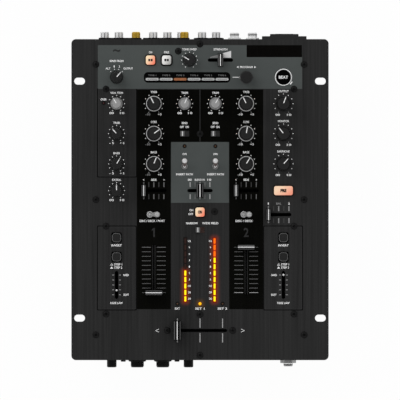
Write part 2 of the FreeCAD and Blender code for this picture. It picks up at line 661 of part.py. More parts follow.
# Fasteners
def screw(name, head_r, long, head_tall="screw_head_tall"):
    # Domed head with a round drive socket, and its plain shank
    return turned(name, [
        ("0", "0 - " + long), ("screw_r", "0 - " + long), ("screw_r", "0"), (head_r, "0"),
        (head_r, head_tall + " - screw_dome", "screw_crown"), ("socket_r", head_tall),
        ("socket_r", head_tall + " - socket_deep"), ("0", head_tall + " - socket_deep")])


def standoff():
    tube = cylinder("standoff_rod", "standoff_r", "board_drop", z=DECK)
    return cut("standoff", tube, cylinder("standoff_bore", "screw_r + screw_gap", "board_drop", z=DECK + " + screw_r"))


def panel_screw(x, y, into_post):
    fasteners.append(group("panel_screw", [panel_screw_part], x, y, "panel_top"))
    panel_holes.append((x, y, "screw_r + screw_gap"))
    if into_post:
        fasteners.append(group("post", [standoff_part], x, y, "panel_top"))


# Lamps and windows
def lamp_part():
    return turned("lamp", [("0", DECK), ("lamp_r", DECK), ("lamp_r", "lamp_rise - lamp_r", "lamp_r"),
                           ("0", "lamp_rise")])


def lamp(name, x, y):
    lamps.append(group(name, [lamp_body], x, y, "panel_top"))
    panel_holes.append((x, y, "lamp_r + lamp_gap"))


def lens(name, x, y, wide, tall, corner):
    item = body(name)
    outline = sketch(item, "outline", lift=DECK)
    draw_window(outline, "0", "0", wide, tall, corner)
    pad(item, outline, "0 - lens_sink - " + DECK)
    lamps.append(group(name + "_placed", [item], x, y, "panel_top"))
    panel_windows.append((x, y, "%s + 2 * lens_gap" % wide, "%s + 2 * lens_gap" % tall, "%s + lens_gap" % corner))


# Parts that are used more than once
cone_parts = cone_knob()
dial_parts = dial_knob()
master_parts = master_knob()
select_parts = select_knob()
pot = rotary_pot()
nub_parts = switch_nub()
switch_body = switch_case()
bat_parts = toggle_bat()
toggle_body = toggle_case()
square_cap = key_cap("square_cap", "key_side")
square_switch = key_switch("square_switch", "key_side")
long_cap = key_cap("long_cap", "long_key")
long_switch = key_switch("long_switch", "long_key")
panel_screw_part = screw("panel_screw_part", "screw_head_r", "screw_long")
standoff_part = standoff()
lamp_body = lamp_part()
soft_cap = key_cap("soft_cap", "soft_key", "soft_key", "soft_corner", "round_key_rise")
soft_switch = key_switch("soft_switch", "soft_key", "soft_key", "soft_well_corner", "round_collar", "0")

# Knobs on the panel: name, knob, column, row and rest angle clockwise from the rear
KNOBS = [
    ("fx_assign", cone_parts, "0 - col_outer", "row_fx_knob"),
    ("fx_frequency", cone_parts, "fx_frequency_x", "row_fx_button"),
    ("mic_gain", cone_parts, "0 - col_outer", "row_high"),
    ("mic_high", cone_parts, "0 - col_outer", "row_mid"),
    ("mic_low", cone_parts, "0 - col_outer", "row_low"),
    ("aux_in", cone_parts, "0 - col_outer", "row_pan"),
    ("ch1_gain", cone_parts, "0 - col_gain", "row_high"),
    ("ch1_high", dial_parts, "0 - col_channel", "row_high"),
    ("ch1_mid", dial_parts, "0 - col_channel", "row_mid"),
    ("ch1_low", dial_parts, "0 - col_channel", "row_low"),
    ("ch2_gain", cone_parts, "col_gain", "row_high"),
    ("ch2_high", dial_parts, "col_channel", "row_high"),
    ("ch2_mid", dial_parts, "col_channel", "row_mid"),
    ("ch2_low", dial_parts, "col_channel", "row_low"),
    ("master", master_parts, "col_outer", "row_high"),
    ("aux_out", master_parts, "col_outer", "row_mid"),
    ("cue_gain", master_parts, "col_outer", "row_low"),
]
for name, parts, x, y in KNOBS:
    node(name + "_knob", parts, x, y, "panel_top", "0 - %s_turn" % name)
node("fx_select_knob", select_parts, "fx_select_x", "row_fx_knob", "panel_top")
for name, x, y in [(row[0], row[2], row[3]) for row in KNOBS] + [("fx_select", "fx_select_x", "row_fx_knob")]:
    control_bodies.append(group(name + "_pot", [pot], x, y, "panel_top"))
    panel_holes.append((x, y, "shaft_r + shaft_hole_gap"))

# Sliders on the panel
short_track = slide_track("short_track", SHORT_SLOT)
fade_track = slide_track("fade_track", FADE_SLOT)
cross_track = slide_track("cross_track", CROSS_SLOT, "cross_wide", hung=True)
pan_cap = slide_cap("pan_cap", "pan_cap_long", "pan_cap_wide", "pan_cap_tall")
fx_cap = slide_cap("fx_cap", "fx_cap_long", "fx_cap_wide", "pan_cap_tall")
loop_cap = slide_cap("loop_cap", "loop_cap_long", "loop_cap_wide", "pan_cap_tall")
fade_cap = slide_cap("fade_cap", "fade_cap_long", "fade_cap_wide", "fade_cap_tall")
cross_cap = slide_cap("cross_cap", "cross_cap_long", "cross_cap_wide", "cross_cap_tall", UNDER)
LEFT = "0 - short_travel / 2"
slider("fx_intensity_slider", fx_cap, short_track, SHORT_SLOT, "intensity_x", "row_fx_button", "0")
slider("ch1_pan_slider", pan_cap, short_track, SHORT_SLOT, "0 - col_channel", "row_pan", LEFT)
slider("ch2_pan_slider", pan_cap, short_track, SHORT_SLOT, "col_channel", "row_pan", LEFT)
slider("fx_loop_slider", loop_cap, short_track, SHORT_SLOT, "0", "row_pan", "0")
slider("cue_mix_slider", pan_cap, short_track, SHORT_SLOT, "cue_mix_x", "cue_mix_y", LEFT)
slider("ch1_fader", fade_cap, fade_track, FADE_SLOT, "0 - col_channel", "row_fade", "0 - fade_travel / 2", "y")
slider("ch2_fader", fade_cap, fade_track, FADE_SLOT, "col_channel", "row_fade", "fade_travel / 2", "y")
slider("crossfader", cross_cap, cross_track, CROSS_SLOT, "0", "row_cross", "0 - fade_travel / 2")

# Contour sliders are bare stubs
stub_parts = contour_stub()
stub_track = contour_track()
slider("ch1_contour_slider", stub_parts, stub_track, CONTOUR_SLOT, "0 - col_outer", "contour_y", "ch1_contour_at", "y")
slider("ch2_contour_slider", stub_parts, stub_track, CONTOUR_SLOT, "col_outer", "contour_y", "short_travel / 2", "y")

# Slide and toggle switches
slide_switch("ch1_fx_switch", "0 - col_gain", "row_mid")
slide_switch("ch2_fx_switch", "col_gain", "row_mid")
slide_switch("mono_stereo_switch", "0", "mono_y")
toggle("ch1_input_toggle", "ch1_toggle_x", "row_input", "wide_tilt", (0, 1, 0))
toggle("ch2_input_toggle", "ch2_toggle_x", "row_input", "loop_tilt", (0, 1, 0))
toggle("ch1_fx_loop_toggle", "0 - col_gain", "loop_toggle_y", "0 - loop_tilt", (1, 0, 0))
toggle("ch2_fx_loop_toggle", "col_gain", "loop_toggle_y", "0 - loop_tilt", (1, 0, 0))

# Push buttons
square_key("fx_on_button", square_cap, square_switch, "fx_on_x", "row_fx_button", "key_side")
square_key("fx_cue_button", square_cap, square_switch, "fx_cue_x", "row_fx_button", "key_side")
square_key("fx_center_button", square_cap, square_switch, "0", "fx_center_y", "key_side")
square_key("cue_button", long_cap, long_switch, "col_outer", "row_pan", "long_key")
for name, side, y in (("ch1_reverse", "0 - ", "reverse_y"), ("ch1_mode", "0 - ", "mode_y"),
                      ("ch2_reverse", "", "reverse_y"), ("ch2_mode", "", "mode_y")):
    square_key(name + "_button", soft_cap, soft_switch, side + "col_outer", y, "soft_key", "soft_key", "soft_well_corner",
               "round_collar")
tap_cap = round_cap("tap_cap", "tap_r", "round_key_rise", KEY_FLOOR)
tap_base = cylinder("tap_base", "tap_r", "board_drop + panel_thick - key_well", z=DECK)
tap_wall = "tap_r + key_gap + tap_ring_wall"
tap_seat = cylinder("tap_seat", tap_wall, "tap_ring_wall", z="0 - key_well - tap_ring_wall")
node("tap_button", tap_cap, "col_outer", "row_fx_knob", "panel_top")
control_bodies.append(group("tap_switch", [fuse("tap_body", tap_base, tap_seat)], "col_outer", "row_fx_knob", "panel_top"))
lamps.append(group("tap_light", [tap_ring()], "col_outer", "row_fx_knob", "panel_top"))
panel_holes.append(("col_outer", "row_fx_knob", tap_wall + " + bezel_gap"))

# Lamps, level meters and the display strip
for name, x, y in (("left_lamp", "0 - lamp_x", "row_lamp"), ("middle_lamp", "0", "row_lamp"),
                   ("right_lamp", "lamp_x", "row_lamp"), ("ch1_loop_lamp", "0 - col_gain", "loop_lamp_y"),
                   ("ch2_loop_lamp", "col_gain", "loop_lamp_y"), ("peak_lamp", "peak_lamp_x", "peak_lamp_y")):
    lamp(name, x, y)
lens("left_meter", "0 - meter_x", "row_fade", "meter_wide", "meter_long", "lens_gap")
lens("right_meter", "meter_x", "row_fade", "meter_wide", "meter_long", "lens_gap")
lens("display", "display_x", "display_y", "display_long", "display_wide", "display_corner")

# Panel screws: along the tray's flanges, into the end plates, into the posts, into the crossfader
for side in ("", "0 - "):
    for y in ("rail_y", "0", "0 - rail_y"):
        panel_screw(side + "rail_x", y, False)
    for y in ("post_rear", "post_mid", "post_front"):
        panel_screw(side + "post_x", y, True)
    panel_screw(side + "fade_screw_x", "row_cross", False)
    panel_screw("0", side + "end_screw_y", False)
for x, y in (("0", "core_screw_y"), ("core_side_x", "core_side_y"), ("0", "meter_screw_y"), ("fx_screw_x", "fx_screw_y")):
    panel_screw(x, y, True)

# Control panel
panel = body("panel_sheet")
outline = sketch(panel, "outline")
draw_window(outline, "0", "0", "panel_width", "panel_depth", "panel_corner")
pad(panel, outline, "panel_thick")
round_holes = sketch(panel, "holes")
for hole in panel_holes:
    draw_circle(round_holes, *hole)
pocket(panel, round_holes)
slots = sketch(panel, "slots")
for slot in panel_slots:
    draw_slot(slots, *slot)
for side in ("", "0 - "):
    for end in ("", "0 - "):
        draw_slot(slots, side + "rack_pitch_x / 2", end + "rack_pitch_y / 2", "rack_slot_long", "rack_slot_wide", "x")
pocket(panel, slots)
windows = sketch(panel, "windows")
for window in panel_windows:
    draw_window(windows, *window)
pocket(panel, windows)
node("top_panel", [panel], z=PANEL_UNDER)

# Folded tray: floor, two sides and their inward flanges under the panel
tray = body("tray_sheet")
fold = sketch(tray, "fold", "XZ_Plane")
half = "tray_width / 2"
right = [("0 + " + half, "foot_tall"), ("0 + " + half, PANEL_UNDER), (half + " - tray_flange", PANEL_UNDER),
         (half + " - tray_flange", PANEL_UNDER + " - tray_sheet"), (half + " - tray_sheet", PANEL_UNDER + " - tray_sheet"),
         (half + " - tray_sheet", TRAY_FLOOR)]
left = [("0 - (%s)" % x, z) for x, z in reversed(right)]
draw_lines(fold, right + left)
folded = pad(tray, fold, "2 * " + END_FACE, both_ways=True)
doc.recompute()
bend_edges = []
for index, edge in enumerate(folded.Shape.Edges, 1):
    middle = edge.CenterOfMass
    if abs(middle.z - number("foot_tall")) < 1e-4 and abs(middle.y) < 1e-4 and edge.BoundBox.YLength > 1:
        bend_edges.append("Edge%d" % index)
bends = tray.newObject("PartDesign::Fillet", "tray_bends")
bends.Base = (folded, bend_edges)
bind(bends, Radius="tray_bend")
rail_holes = sketch(tray, "rail_holes", lift=PANEL_UNDER)
for side in ("", "0 - "):
    for y in ("rail_y", "0", "0 - rail_y"):
        draw_circle(rail_holes, side + "rail_x", y, "screw_r + screw_gap")
pocket(tray, rail_holes, "2 * tray_sheet")
foot_holes = sketch(tray, "foot_holes", lift="foot_tall")
for side in ("", "0 - "):
    for end in ("", "0 - "):
        draw_circle(foot_holes, side + "foot_x", end + "foot_y", "screw_r + screw_gap")
pocket(tray, foot_holes, "2 * tray_sheet", backwards=True)
node("chassis_tray", [tray])

# Feet with their screws in the wells
foot = turned("foot", [("foot_hole_r", "foot_floor"), ("foot_well_r", "foot_floor"), ("foot_well_r", "0"), ("foot_r", "0"),
                       ("foot_top_r", "foot_tall"), ("foot_hole_r", "foot_tall")])
foot_screw = screw("foot_screw", "foot_screw_head_r", "foot_screw_long")
feet = []
for side in ("", "0 - "):
    for end in ("", "0 - "):
        feet.append(group("one_foot", [foot], side + "foot_x", end + "foot_y"))
        place = (side + "foot_x", end + "foot_y", "foot_floor")
        fasteners.append(group("one_foot_screw", [foot_screw], *place, "180", (1, 0, 0)))
node("feet", feet)

# Circuit boards: the control board on its posts, the power board with its transformer
board_deep = "board_front + board_rear"
board = box("control_board", "board_width", board_deep, "board_thick", y="(board_rear - board_front) / 2",
            z="panel_top + %s - board_thick" % DECK)
power_z = "(%s + power_lift)" % TRAY_FLOOR
boards = [board, box("power_board", "power_width", "power_depth", "board_thick", "power_x", "power_y", power_z)]
for side in ("+", "-"):
    for end in ("+", "-"):
        x = "power_x %s (power_width / 2 - power_post_inset)" % side
        y = "power_y %s (power_depth / 2 - power_post_inset)" % end
        boards.append(cylinder("power_post", "power_post_r", "power_lift", x, y, TRAY_FLOOR))
core_z = power_z + " + board_thick"
core = box("transformer_core", "core_width", "core_depth", "core_tall", "power_x", "power_y", core_z)
coil = box("transformer_coil", "coil_width", "core_depth * 1.5", "coil_tall", "power_x", "power_y",
           core_z + " + (core_tall - coil_tall) / 2")
boards.append(fuse("transformer", core, coil))
node("circuit_boards", boards)


# Connectors, drawn about +Z with zero at the end plate's outer face
def rca_jack():
    tip = REACH + " - rca_lip"
    shell = turned("rca_shell", [
        ("0", "0 - plate_thick - rca_body_long"), ("rca_body_r", "0 - plate_thick - rca_body_long"),
        ("rca_body_r", "0 - plate_thick"), ("rca_neck_r", "0 - plate_thick"), ("rca_neck_r", "0"), ("rca_boss_r", "0"),
        ("rca_boss_r", "rca_boss"), ("rca_sleeve_in - rca_seat_gap", "rca_boss"), ("rca_sleeve_in - rca_seat_gap", tip),
        ("rca_pin_r", tip), ("rca_pin_r", tip + " - rca_pin_deep"), ("0", tip + " - rca_pin_deep")])
    sleeve = turned("rca_sleeve", [("rca_sleeve_in", "rca_boss"), ("rca_sleeve_r", "rca_boss"), ("rca_sleeve_r", REACH),
                                   ("rca_sleeve_in", REACH)])
    return [shell, sleeve]


def ground_post():
    neck = "ground_foot + ground_nut_gap"
    return [turned("ground_post", [
        ("0", "0 - ground_tail"), ("ground_stud_r", "0 - ground_tail"), ("ground_stud_r", "0"), ("ground_foot_r", "0"),
        ("ground_foot_r", "ground_foot"), ("ground_stud_r", "ground_foot"), ("ground_stud_r", neck), ("ground_nut_r", neck),
        ("ground_nut_r", REACH + " - ground_edge"), ("ground_nut_r - ground_edge", REACH), ("0", REACH)])]


def phone_jack(name, nut_r, nut_tall):
    case = box(name + "_case", "jack_side", "jack_side", "jack_long", z="0 - plate_thick - jack_long")
    barrel = cylinder(name + "_barrel", "jack_barrel_r", "jack_reach + plate_thick", z="0 - plate_thick")
    bore = cylinder(name + "_bore", "jack_bore_r", "jack_bore_long", z="jack_reach - jack_bore_long")
    jack = cut(name, fuse(name + "_outside", case, barrel), bore)
    nut_hole = cylinder(name + "_thread", "jack_barrel_r + rca_seat_gap", nut_tall)
    return [jack, cut(name + "_nut", hexagon(name + "_hex", nut_r, nut_tall), nut_hole)]


def mains_inlet():
    # Flanged housing with the inlet's well below and the rocker's well above
    inlet = body("mains_inlet")
    shroud = sketch(inlet, "shroud", lift="0 - inlet_long")
    draw_window(shroud, "0", "0", "inlet_wide", "inlet_tall", "inlet_corner")
    pad(inlet, shroud, "inlet_long + inlet_proud")
    flange = sketch(inlet, "flange")
    draw_window(flange, "0", "0", "inlet_flange_wide", "inlet_tall", "inlet_corner")
    pad(inlet, flange, "inlet_flange")
    wells = sketch(inlet, "well", lift="inlet_proud")
    draw_window(wells, "0", "well_z", "well_wide", "well_tall", "well_corner")
    pocket(inlet, wells, "well_deep")
    rocker_well = sketch(inlet, "rocker_well", lift="inlet_proud")
    wide = "(rocker_wide / 2 + rocker_gap)"
    tall = "(rocker_tall / 2 + rocker_gap)"
    draw_lines(rocker_well, [("0 - " + wide, "rocker_z - " + tall), (wide, "rocker_z - " + tall),
                             (wide, "rocker_z + " + tall), ("0 - " + wide, "rocker_z + " + tall)])
    pocket(inlet, rocker_well, "rocker_deep")
    pivots = sketch(inlet, "pivots", "YZ_Plane")
    draw_circle(pivots, "rocker_z", "inlet_proud - rocker_thick / 2 + rocker_rise", "rocker_pin_r + rocker_pin_gap")
    pocket(inlet, pivots, "rocker_wide + 2 * rocker_gap + 4 * rocker_pin_r", both_ways=True)
    blades = []
    for spot, x, y in (("left", "0 - blade_pitch", "0 - blade_drop"), ("middle", "0", "blade_drop"),
                       ("right", "blade_pitch", "0 - blade_drop")):
        blades.append(box("blade_" + spot, "blade_wide", "blade_tall", "blade_long", x, "well_z + " + y,
                          "inlet_proud - well_deep"))
    return [inlet] + blades


def power_rocker():
    # Drawn about its pivot, with a shallow dished face
    rocker = body("rocker_paddle")
    side = sketch(rocker, "side", "YZ_Plane")
    half_tall = "rocker_tall / 2"
    half_thick = "rocker_thick / 2"
    draw_lines(side, [("0 - " + half_tall, "0 - " + half_thick), ("0 + " + half_tall, "0 - " + half_thick),
                      ("0 + " + half_tall, "0 + " + half_thick), ("0", half_thick + " - rocker_rise"),
                      ("0 - " + half_tall, "0 + " + half_thick)])
    pad(rocker, side, "rocker_wide", both_ways=True)
    pin = sketch(rocker, "pin", "YZ_Plane")
    draw_circle(pin, "0", "0", "rocker_pin_r")
    pad(rocker, pin, "rocker_wide + 2 * rocker_gap + 2 * rocker_pin_r", both_ways=True)
    return [rocker]


# Rear connectors
rear_turn = ("0 - 90", (1, 0, 0))
front_turn = ("90", (1, 0, 0))
rca_parts = rca_jack()
post_parts = ground_post()
connectors = []
for column in ("rca_a1", "rca_a2", "rca_b1", "rca_b2", "rca_b3", "rca_c1", "rca_c2"):
    for level in ("rca_upper_z", "rca_lower_z"):
        connectors.append(group("rca", rca_parts, column, END_FACE, level, *rear_turn))
        rear_holes.append((column, level, "rca_neck_r + hole_gap"))
for column in ("ground_x1", "ground_x2"):
    connectors.append(group("ground", post_parts, column, END_FACE, "ground_z", *rear_turn))
    rear_holes.append((column, "ground_z", "ground_stud_r + hole_gap"))
node("rca_jacks", connectors)
line_parts = phone_jack("line_jack", "jack_nut_r", "jack_nut_tall")
phones_parts = phone_jack("phones_jack", "phones_nut_r", "phones_nut_tall")
sockets = []
for column in ("jack_x1", "jack_x2"):
    sockets.append(group("line_socket", line_parts, column, END_FACE, "jack_z", *rear_turn))
    rear_holes.append((column, "jack_z", "jack_barrel_r + hole_gap"))
sockets.append(group("phones_socket", phones_parts, "phones_x", "0 - " + END_FACE, "front_z", *front_turn))
front_holes.append(("phones_x", "front_z", "jack_barrel_r + hole_gap"))
sockets.append(group("inlet_placed", mains_inlet(), "inlet_x", END_FACE, "inlet_z", *rear_turn))
node("panel_sockets", sockets)
tilted = group("rocker_tilted", power_rocker(), turn="rocker_tilt", axis=(1, 0, 0))
rocker_y = END_FACE + " + inlet_proud - rocker_thick / 2 + rocker_rise"
node("power_rocker", [tilted], "inlet_x", rocker_y, "inlet_z - rocker_z", *rear_turn)


# Front knobs and keys, drawn about +Z with zero at the front plate's outer face
def front_dial():
    reach = REACH
    bore = "shaft_r + knob_bore_gap"
    cap = turned("front_cap", [
        ("front_skirt_r", "knob_lift"), ("front_skirt_r", "knob_lift + front_skirt"),
        ("front_dial_r", "knob_lift + front_skirt + knob_edge"), ("front_dial_r", reach + " - knob_edge"),
        ("front_dial_r - knob_edge", reach), ("0", reach), ("0", reach + " - knob_roof"), (bore, reach + " - knob_roof"),
        (bore, "knob_lift")])
    floor = "(0 - plate_thick - front_pot_long + pot_floor)"
    shaft = cylinder("front_shaft", "shaft_r", "%s - knob_roof - %s" % (reach, floor), z=floor)
    return [cap, shaft]


def front_pot():
    case = box("front_pot_case", "pot_side", "pot_side", "front_pot_long", z="0 - plate_thick - front_pot_long")
    depth = "(front_pot_long - pot_floor + shaft_gap)"
    bore = cylinder("front_pot_bore", "shaft_r + shaft_gap", depth, z="0 - plate_thick - " + depth)
    return cut("front_pot", case, bore)


dial_front = front_dial()
pot_front = front_pot()
key_front = round_cap("front_key", "round_key_r", REACH, KEY_FLOOR)
front_switch = round_switch("front_switch", "round_key_r", "0 - plate_thick - front_key_long")
front_screw = screw("front_screw", "front_head_r", "foot_screw_long", "front_head_tall")
for side in ("left", "right"):
    place = ("front_dial_" + side, "0 - " + END_FACE, "front_z")
    node("front_knob_" + side, dial_front, *place, *front_turn)
    control_bodies.append(group("front_pot_" + side, [pot_front], *place, *front_turn))
    front_holes.append((place[0], "front_z", "shaft_r + shaft_hole_gap"))
    place = ("front_key_" + side, "0 - " + END_FACE, "front_z")
    node("front_button_" + side, key_front, *place, *front_turn)
    control_bodies.append(group("front_switch_" + side, [front_switch], *place, *front_turn))
    front_holes.append((place[0], "front_z", "round_key_r + key_gap + round_collar + bezel_gap"))
    place = ("front_screw_" + side, "0 - " + END_FACE, "front_z")
    fasteners.append(group("front_screw_placed", [front_screw], *place, *front_turn))
    front_holes.append((place[0], "front_z", "screw_r + screw_gap"))


# End plates, drawn flat with their width along X and height along Y, then stood up
def end_plate(name, holes, inward):
    plate = body(name)
    edge = "(tray_width / 2 - tray_sheet - tray_seam)"
    lip = "(tray_width / 2 - flange_end)"
    face = sketch(plate, "face")
    draw_lines(face, [("0 - " + edge, TRAY_FLOOR), ("0 + " + edge, TRAY_FLOOR),
                      ("0 + " + edge, PANEL_UNDER + " - tray_sheet - tray_seam"),
                      ("0 + " + lip, PANEL_UNDER + " - tray_sheet - tray_seam"), ("0 + " + lip, PANEL_UNDER),
                      ("0 - " + lip, PANEL_UNDER), ("0 - " + lip, PANEL_UNDER + " - tray_sheet - tray_seam"),
                      ("0 - " + edge, PANEL_UNDER + " - tray_sheet - tray_seam")])
    pad(plate, face, "plate_thick", backwards=not inward)
    flange = sketch(plate, "flange")
    draw_lines(flange, [("0 - " + lip, PANEL_UNDER + " - plate_thick"), ("0 + " + lip, PANEL_UNDER + " - plate_thick"),
                        ("0 + " + lip, PANEL_UNDER), ("0 - " + lip, PANEL_UNDER)])
    pad(plate, flange, "plate_flange", backwards=not inward)
    openings = sketch(plate, "openings")
    for hole in holes:
        draw_circle(openings, *hole)
    pocket(plate, openings)
    lip_hole = sketch(plate, "lip_hole", "XZ_Plane")
    depth = "(%s - end_screw_y)" % END_FACE
    draw_circle(lip_hole, "0", depth if inward else "0 - " + depth, "screw_r + screw_gap")
    pocket(plate, lip_hole)
    return plate


rear = end_plate("rear_sheet", rear_holes, True)
inlet_hole = sketch(rear, "inlet_hole")
draw_window(inlet_hole, "inlet_x", "inlet_z", "inlet_wide + 2 * inlet_gap", "inlet_tall + 2 * inlet_gap",
            "inlet_corner + inlet_gap")
pocket(rear, inlet_hole)
front = end_plate("front_sheet", front_holes, False)
node("rear_plate", [rear], y=END_FACE, turn="90", axis=(1, 0, 0))
node("front_plate", [front], y="0 - " + END_FACE, turn="90", axis=(1, 0, 0))

# The groups that the controls filled
node("control_bodies", control_bodies)
node("indicators", lamps)
node("fasteners", fasteners)

# Recompute, check and write
doc.recompute()
for item in doc.Objects:
    if "Invalid" in item.State or "Error" in item.State:
        raise RuntimeError("failed object: " + item.Label)
for item in nodes:
    if item.Shape.isNull() or not item.Shape.isValid() or not item.Shape.Solids:
        raise RuntimeError("bad shape: " + item.Label)
os.makedirs("parts", exist_ok=True)
for item in nodes:
    item.Shape.exportStep("parts/%s.step" % item.Label)
print("%d nodes, %d solids" % (len(nodes), sum(len(item.Shape.Solids) for item in nodes)))
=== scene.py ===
import bmesh
import bpy
import json
import math
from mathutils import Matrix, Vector


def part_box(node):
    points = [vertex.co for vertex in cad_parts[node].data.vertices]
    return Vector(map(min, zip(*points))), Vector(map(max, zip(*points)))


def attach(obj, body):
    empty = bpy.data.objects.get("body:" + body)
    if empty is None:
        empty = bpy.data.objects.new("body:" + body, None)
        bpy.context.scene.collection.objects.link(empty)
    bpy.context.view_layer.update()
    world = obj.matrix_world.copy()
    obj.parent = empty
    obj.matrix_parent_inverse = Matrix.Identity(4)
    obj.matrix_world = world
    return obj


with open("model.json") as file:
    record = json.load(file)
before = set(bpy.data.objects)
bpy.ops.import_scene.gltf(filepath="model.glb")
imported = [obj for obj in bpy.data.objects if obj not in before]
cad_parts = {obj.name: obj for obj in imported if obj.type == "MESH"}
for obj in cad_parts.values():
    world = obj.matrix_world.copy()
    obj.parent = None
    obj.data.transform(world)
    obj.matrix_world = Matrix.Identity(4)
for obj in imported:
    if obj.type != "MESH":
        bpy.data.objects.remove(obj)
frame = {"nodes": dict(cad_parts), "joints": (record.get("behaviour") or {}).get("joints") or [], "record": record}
nodes = frame["nodes"]
mounts = {mount["name"]: mount["pos_m"] for mount in frame["record"]["mounts"]}
joints = {joint["child"]: joint for joint in frame["joints"]}
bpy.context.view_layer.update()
mm = 0.001
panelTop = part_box("top_panel")[1].z
print("frame loaded:", len(nodes), "nodes")


# Small tools for colours and places
def tone(red, green, blue):  # a colour as it looks on screen, 0 to 255
    def linear(value):
        value = value / 255
        return value / 12.92 if value <= 0.04045 else ((value + 0.055) / 1.055) ** 2.4
    return (linear(red), linear(green), linear(blue), 1.0)


def grey(level):
    return tone(level, level, level)


def middleOf(name):
    low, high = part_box(name)
    return (low + high) / 2


def columnOf(name):  # where a control stands on the panel
    middle = middleOf(name)
    return middle.x, middle.y


def spotOf(name):  # the same in millimetres
    x, y = columnOf(name)
    return x / mm, y / mm


def link(name, data):
    made = bpy.data.objects.new(name, data)
    bpy.context.scene.collection.objects.link(made)
    return made


# Small tools for node trees
class wire:  # an output in a tree; sums with it make math nodes
    def __init__(self, tree, socket):
        self.tree, self.socket = tree, socket

    def calc(self, operation, other=0.0, swapped=False):
        first, second = (other, self) if swapped else (self, other)
        return flow(self.tree, "ShaderNodeMath", {0: first, 1: second}, operation=operation)

    def clamped(self):  # keeps the last sum between 0 and 1
        self.socket.node.use_clamp = True
        return self

    def __add__(self, other):
        return self.calc("ADD", other)

    def __sub__(self, other):
        return self.calc("SUBTRACT", other)

    def __rsub__(self, other):
        return self.calc("SUBTRACT", other, True)

    def __mul__(self, other):
        return self.calc("MULTIPLY", other)

    def __truediv__(self, other):
        return self.calc("DIVIDE", other)

    def __rtruediv__(self, other):
        return self.calc("DIVIDE", other, True)


def place(tree, kind, sockets=None, **settings):
    made = tree.nodes.new(kind)
    for key, value in settings.items():
        setattr(made, key, value)
    for socket, value in (sockets or {}).items():
        if isinstance(value, wire):
            tree.links.new(value.socket, made.inputs[socket])
        else:
            made.inputs[socket].default_value = value
    return made


def flow(tree, kind, sockets=None, output=0, **settings):  # a node's output
    return wire(tree, place(tree, kind, sockets, **settings).outputs[output])


def vector(tree, x=0.0, y=0.0, z=0.0):
    return flow(tree, "ShaderNodeCombineXYZ", {"X": x, "Y": y, "Z": z})


def axisOf(spot, axis):
    return flow(spot.tree, "ShaderNodeSeparateXYZ", {0: spot}, axis)


def blend(tree, amount, first, second, way="MIX"):  # of colours
    return flow(tree, "ShaderNodeMix", {0: amount, 6: first, 7: second}, 2, data_type="RGBA", blend_type=way)


def mix(tree, amount, first, second):  # of values
    return flow(tree, "ShaderNodeMix", {0: amount, 2: first, 3: second})


def noise(spot, scale, detail=2.0, rough=0.5):
    sockets = {"Vector": spot, "Scale": scale, "Detail": detail, "Roughness": rough}
    return flow(spot.tree, "ShaderNodeTexNoise", sockets, "Fac")


socketKinds = {float: "NodeSocketFloat", int: "NodeSocketInt"}


def newGroup(name, kind, inputs, outputs, build):  # a number makes a socket with that value, a word names its kind
    tree = bpy.data.node_groups.new(name, kind)
    for label, value in inputs.items():
        kindName = "NodeSocket" + value if isinstance(value, str) else socketKinds[type(value)]
        socket = tree.interface.new_socket(label, in_out="INPUT", socket_type=kindName)
        if not isinstance(value, str):
            socket.default_value = value
    for label, value in outputs.items():
        tree.interface.new_socket(label, in_out="OUTPUT", socket_type="NodeSocket" + value)
    given = tree.nodes.new("NodeGroupInput").outputs
    result = tree.nodes.new("NodeGroupOutput").inputs
    for label, made in zip(outputs, build(*(wire(tree, given[label]) for label in inputs))):
        tree.links.new(made.socket, result[label])
    return tree


# Shared surface effects
effectLook = {
    "hairShare": 0.65, "bandShare": 0.35, "bandScale": 0.07, "cloudScale": 0.06, "smearScale": 38.0,
    "speckScale": 1700.0, "speckFloor": 0.52, "speckGain": 6.0, "speckBase": 0.25,
}


def swing(mixed, contrast):  # noise about one half becomes a shade about 1
    return (mixed - 0.5) * 2.0 * contrast + 1.0


def brushedStreaks(spot, width, length, contrast):  # fine lines along Y on sheet metal
    across = 1.0 / width
    stretch = vector(spot.tree, across, 1.0 / length, across)
    stretched = flow(spot.tree, "ShaderNodeVectorMath", {0: spot, 1: stretch}, operation="MULTIPLY")
    hair, band = noise(stretched, 1.0, 3.0, 0.7), noise(stretched, effectLook["bandScale"], 1.0)
    return swing(hair * effectLook["hairShare"] + band * effectLook["bandShare"], contrast), hair


def mouldedGrain(spot, size, contrast):  # spark-eroded grain on moulded plastic and powder coat
    scale = 1.0 / size
    fine, cloud = noise(spot, scale, 2.0, 0.6), noise(spot, scale * effectLook["cloudScale"])
    return swing(fine * 0.5 + cloud * 0.5, contrast), fine


def settledDust(spot, amount):  # faint specks and smears on faces that look up
    upward = axisOf(flow(spot.tree, "ShaderNodeNewGeometry", output="Normal"), "Z").calc("MAXIMUM")
    smear, speck = noise(spot, effectLook["smearScale"], 3.0), noise(spot, effectLook["speckScale"], 1.0)
    speckled = ((speck - effectLook["speckFloor"]) * effectLook["speckGain"]).clamped()
    return (smear * upward * (speckled + effectLook["speckBase"]) * amount).clamped(),


def printedArea(spot, left, right, front, rear, corner, edge):  # a rounded rectangle on the panel, soft by edge
    reach = []
    for axis, low, high in (("X", left, right), ("Y", front, rear)):
        distance = (axisOf(spot, axis) - (low + high) * 0.5).calc("ABSOLUTE")
        reach.append(distance - ((high - low) * 0.5 - corner))
    outX, outY = (out.calc("MAXIMUM") for out in reach)
    inside = reach[0].calc("MAXIMUM", reach[1]).calc("MINIMUM")
    gap = (outX * outX + outY * outY).calc("SQRT") + inside - corner
    return (0.5 - gap / edge).clamped(),


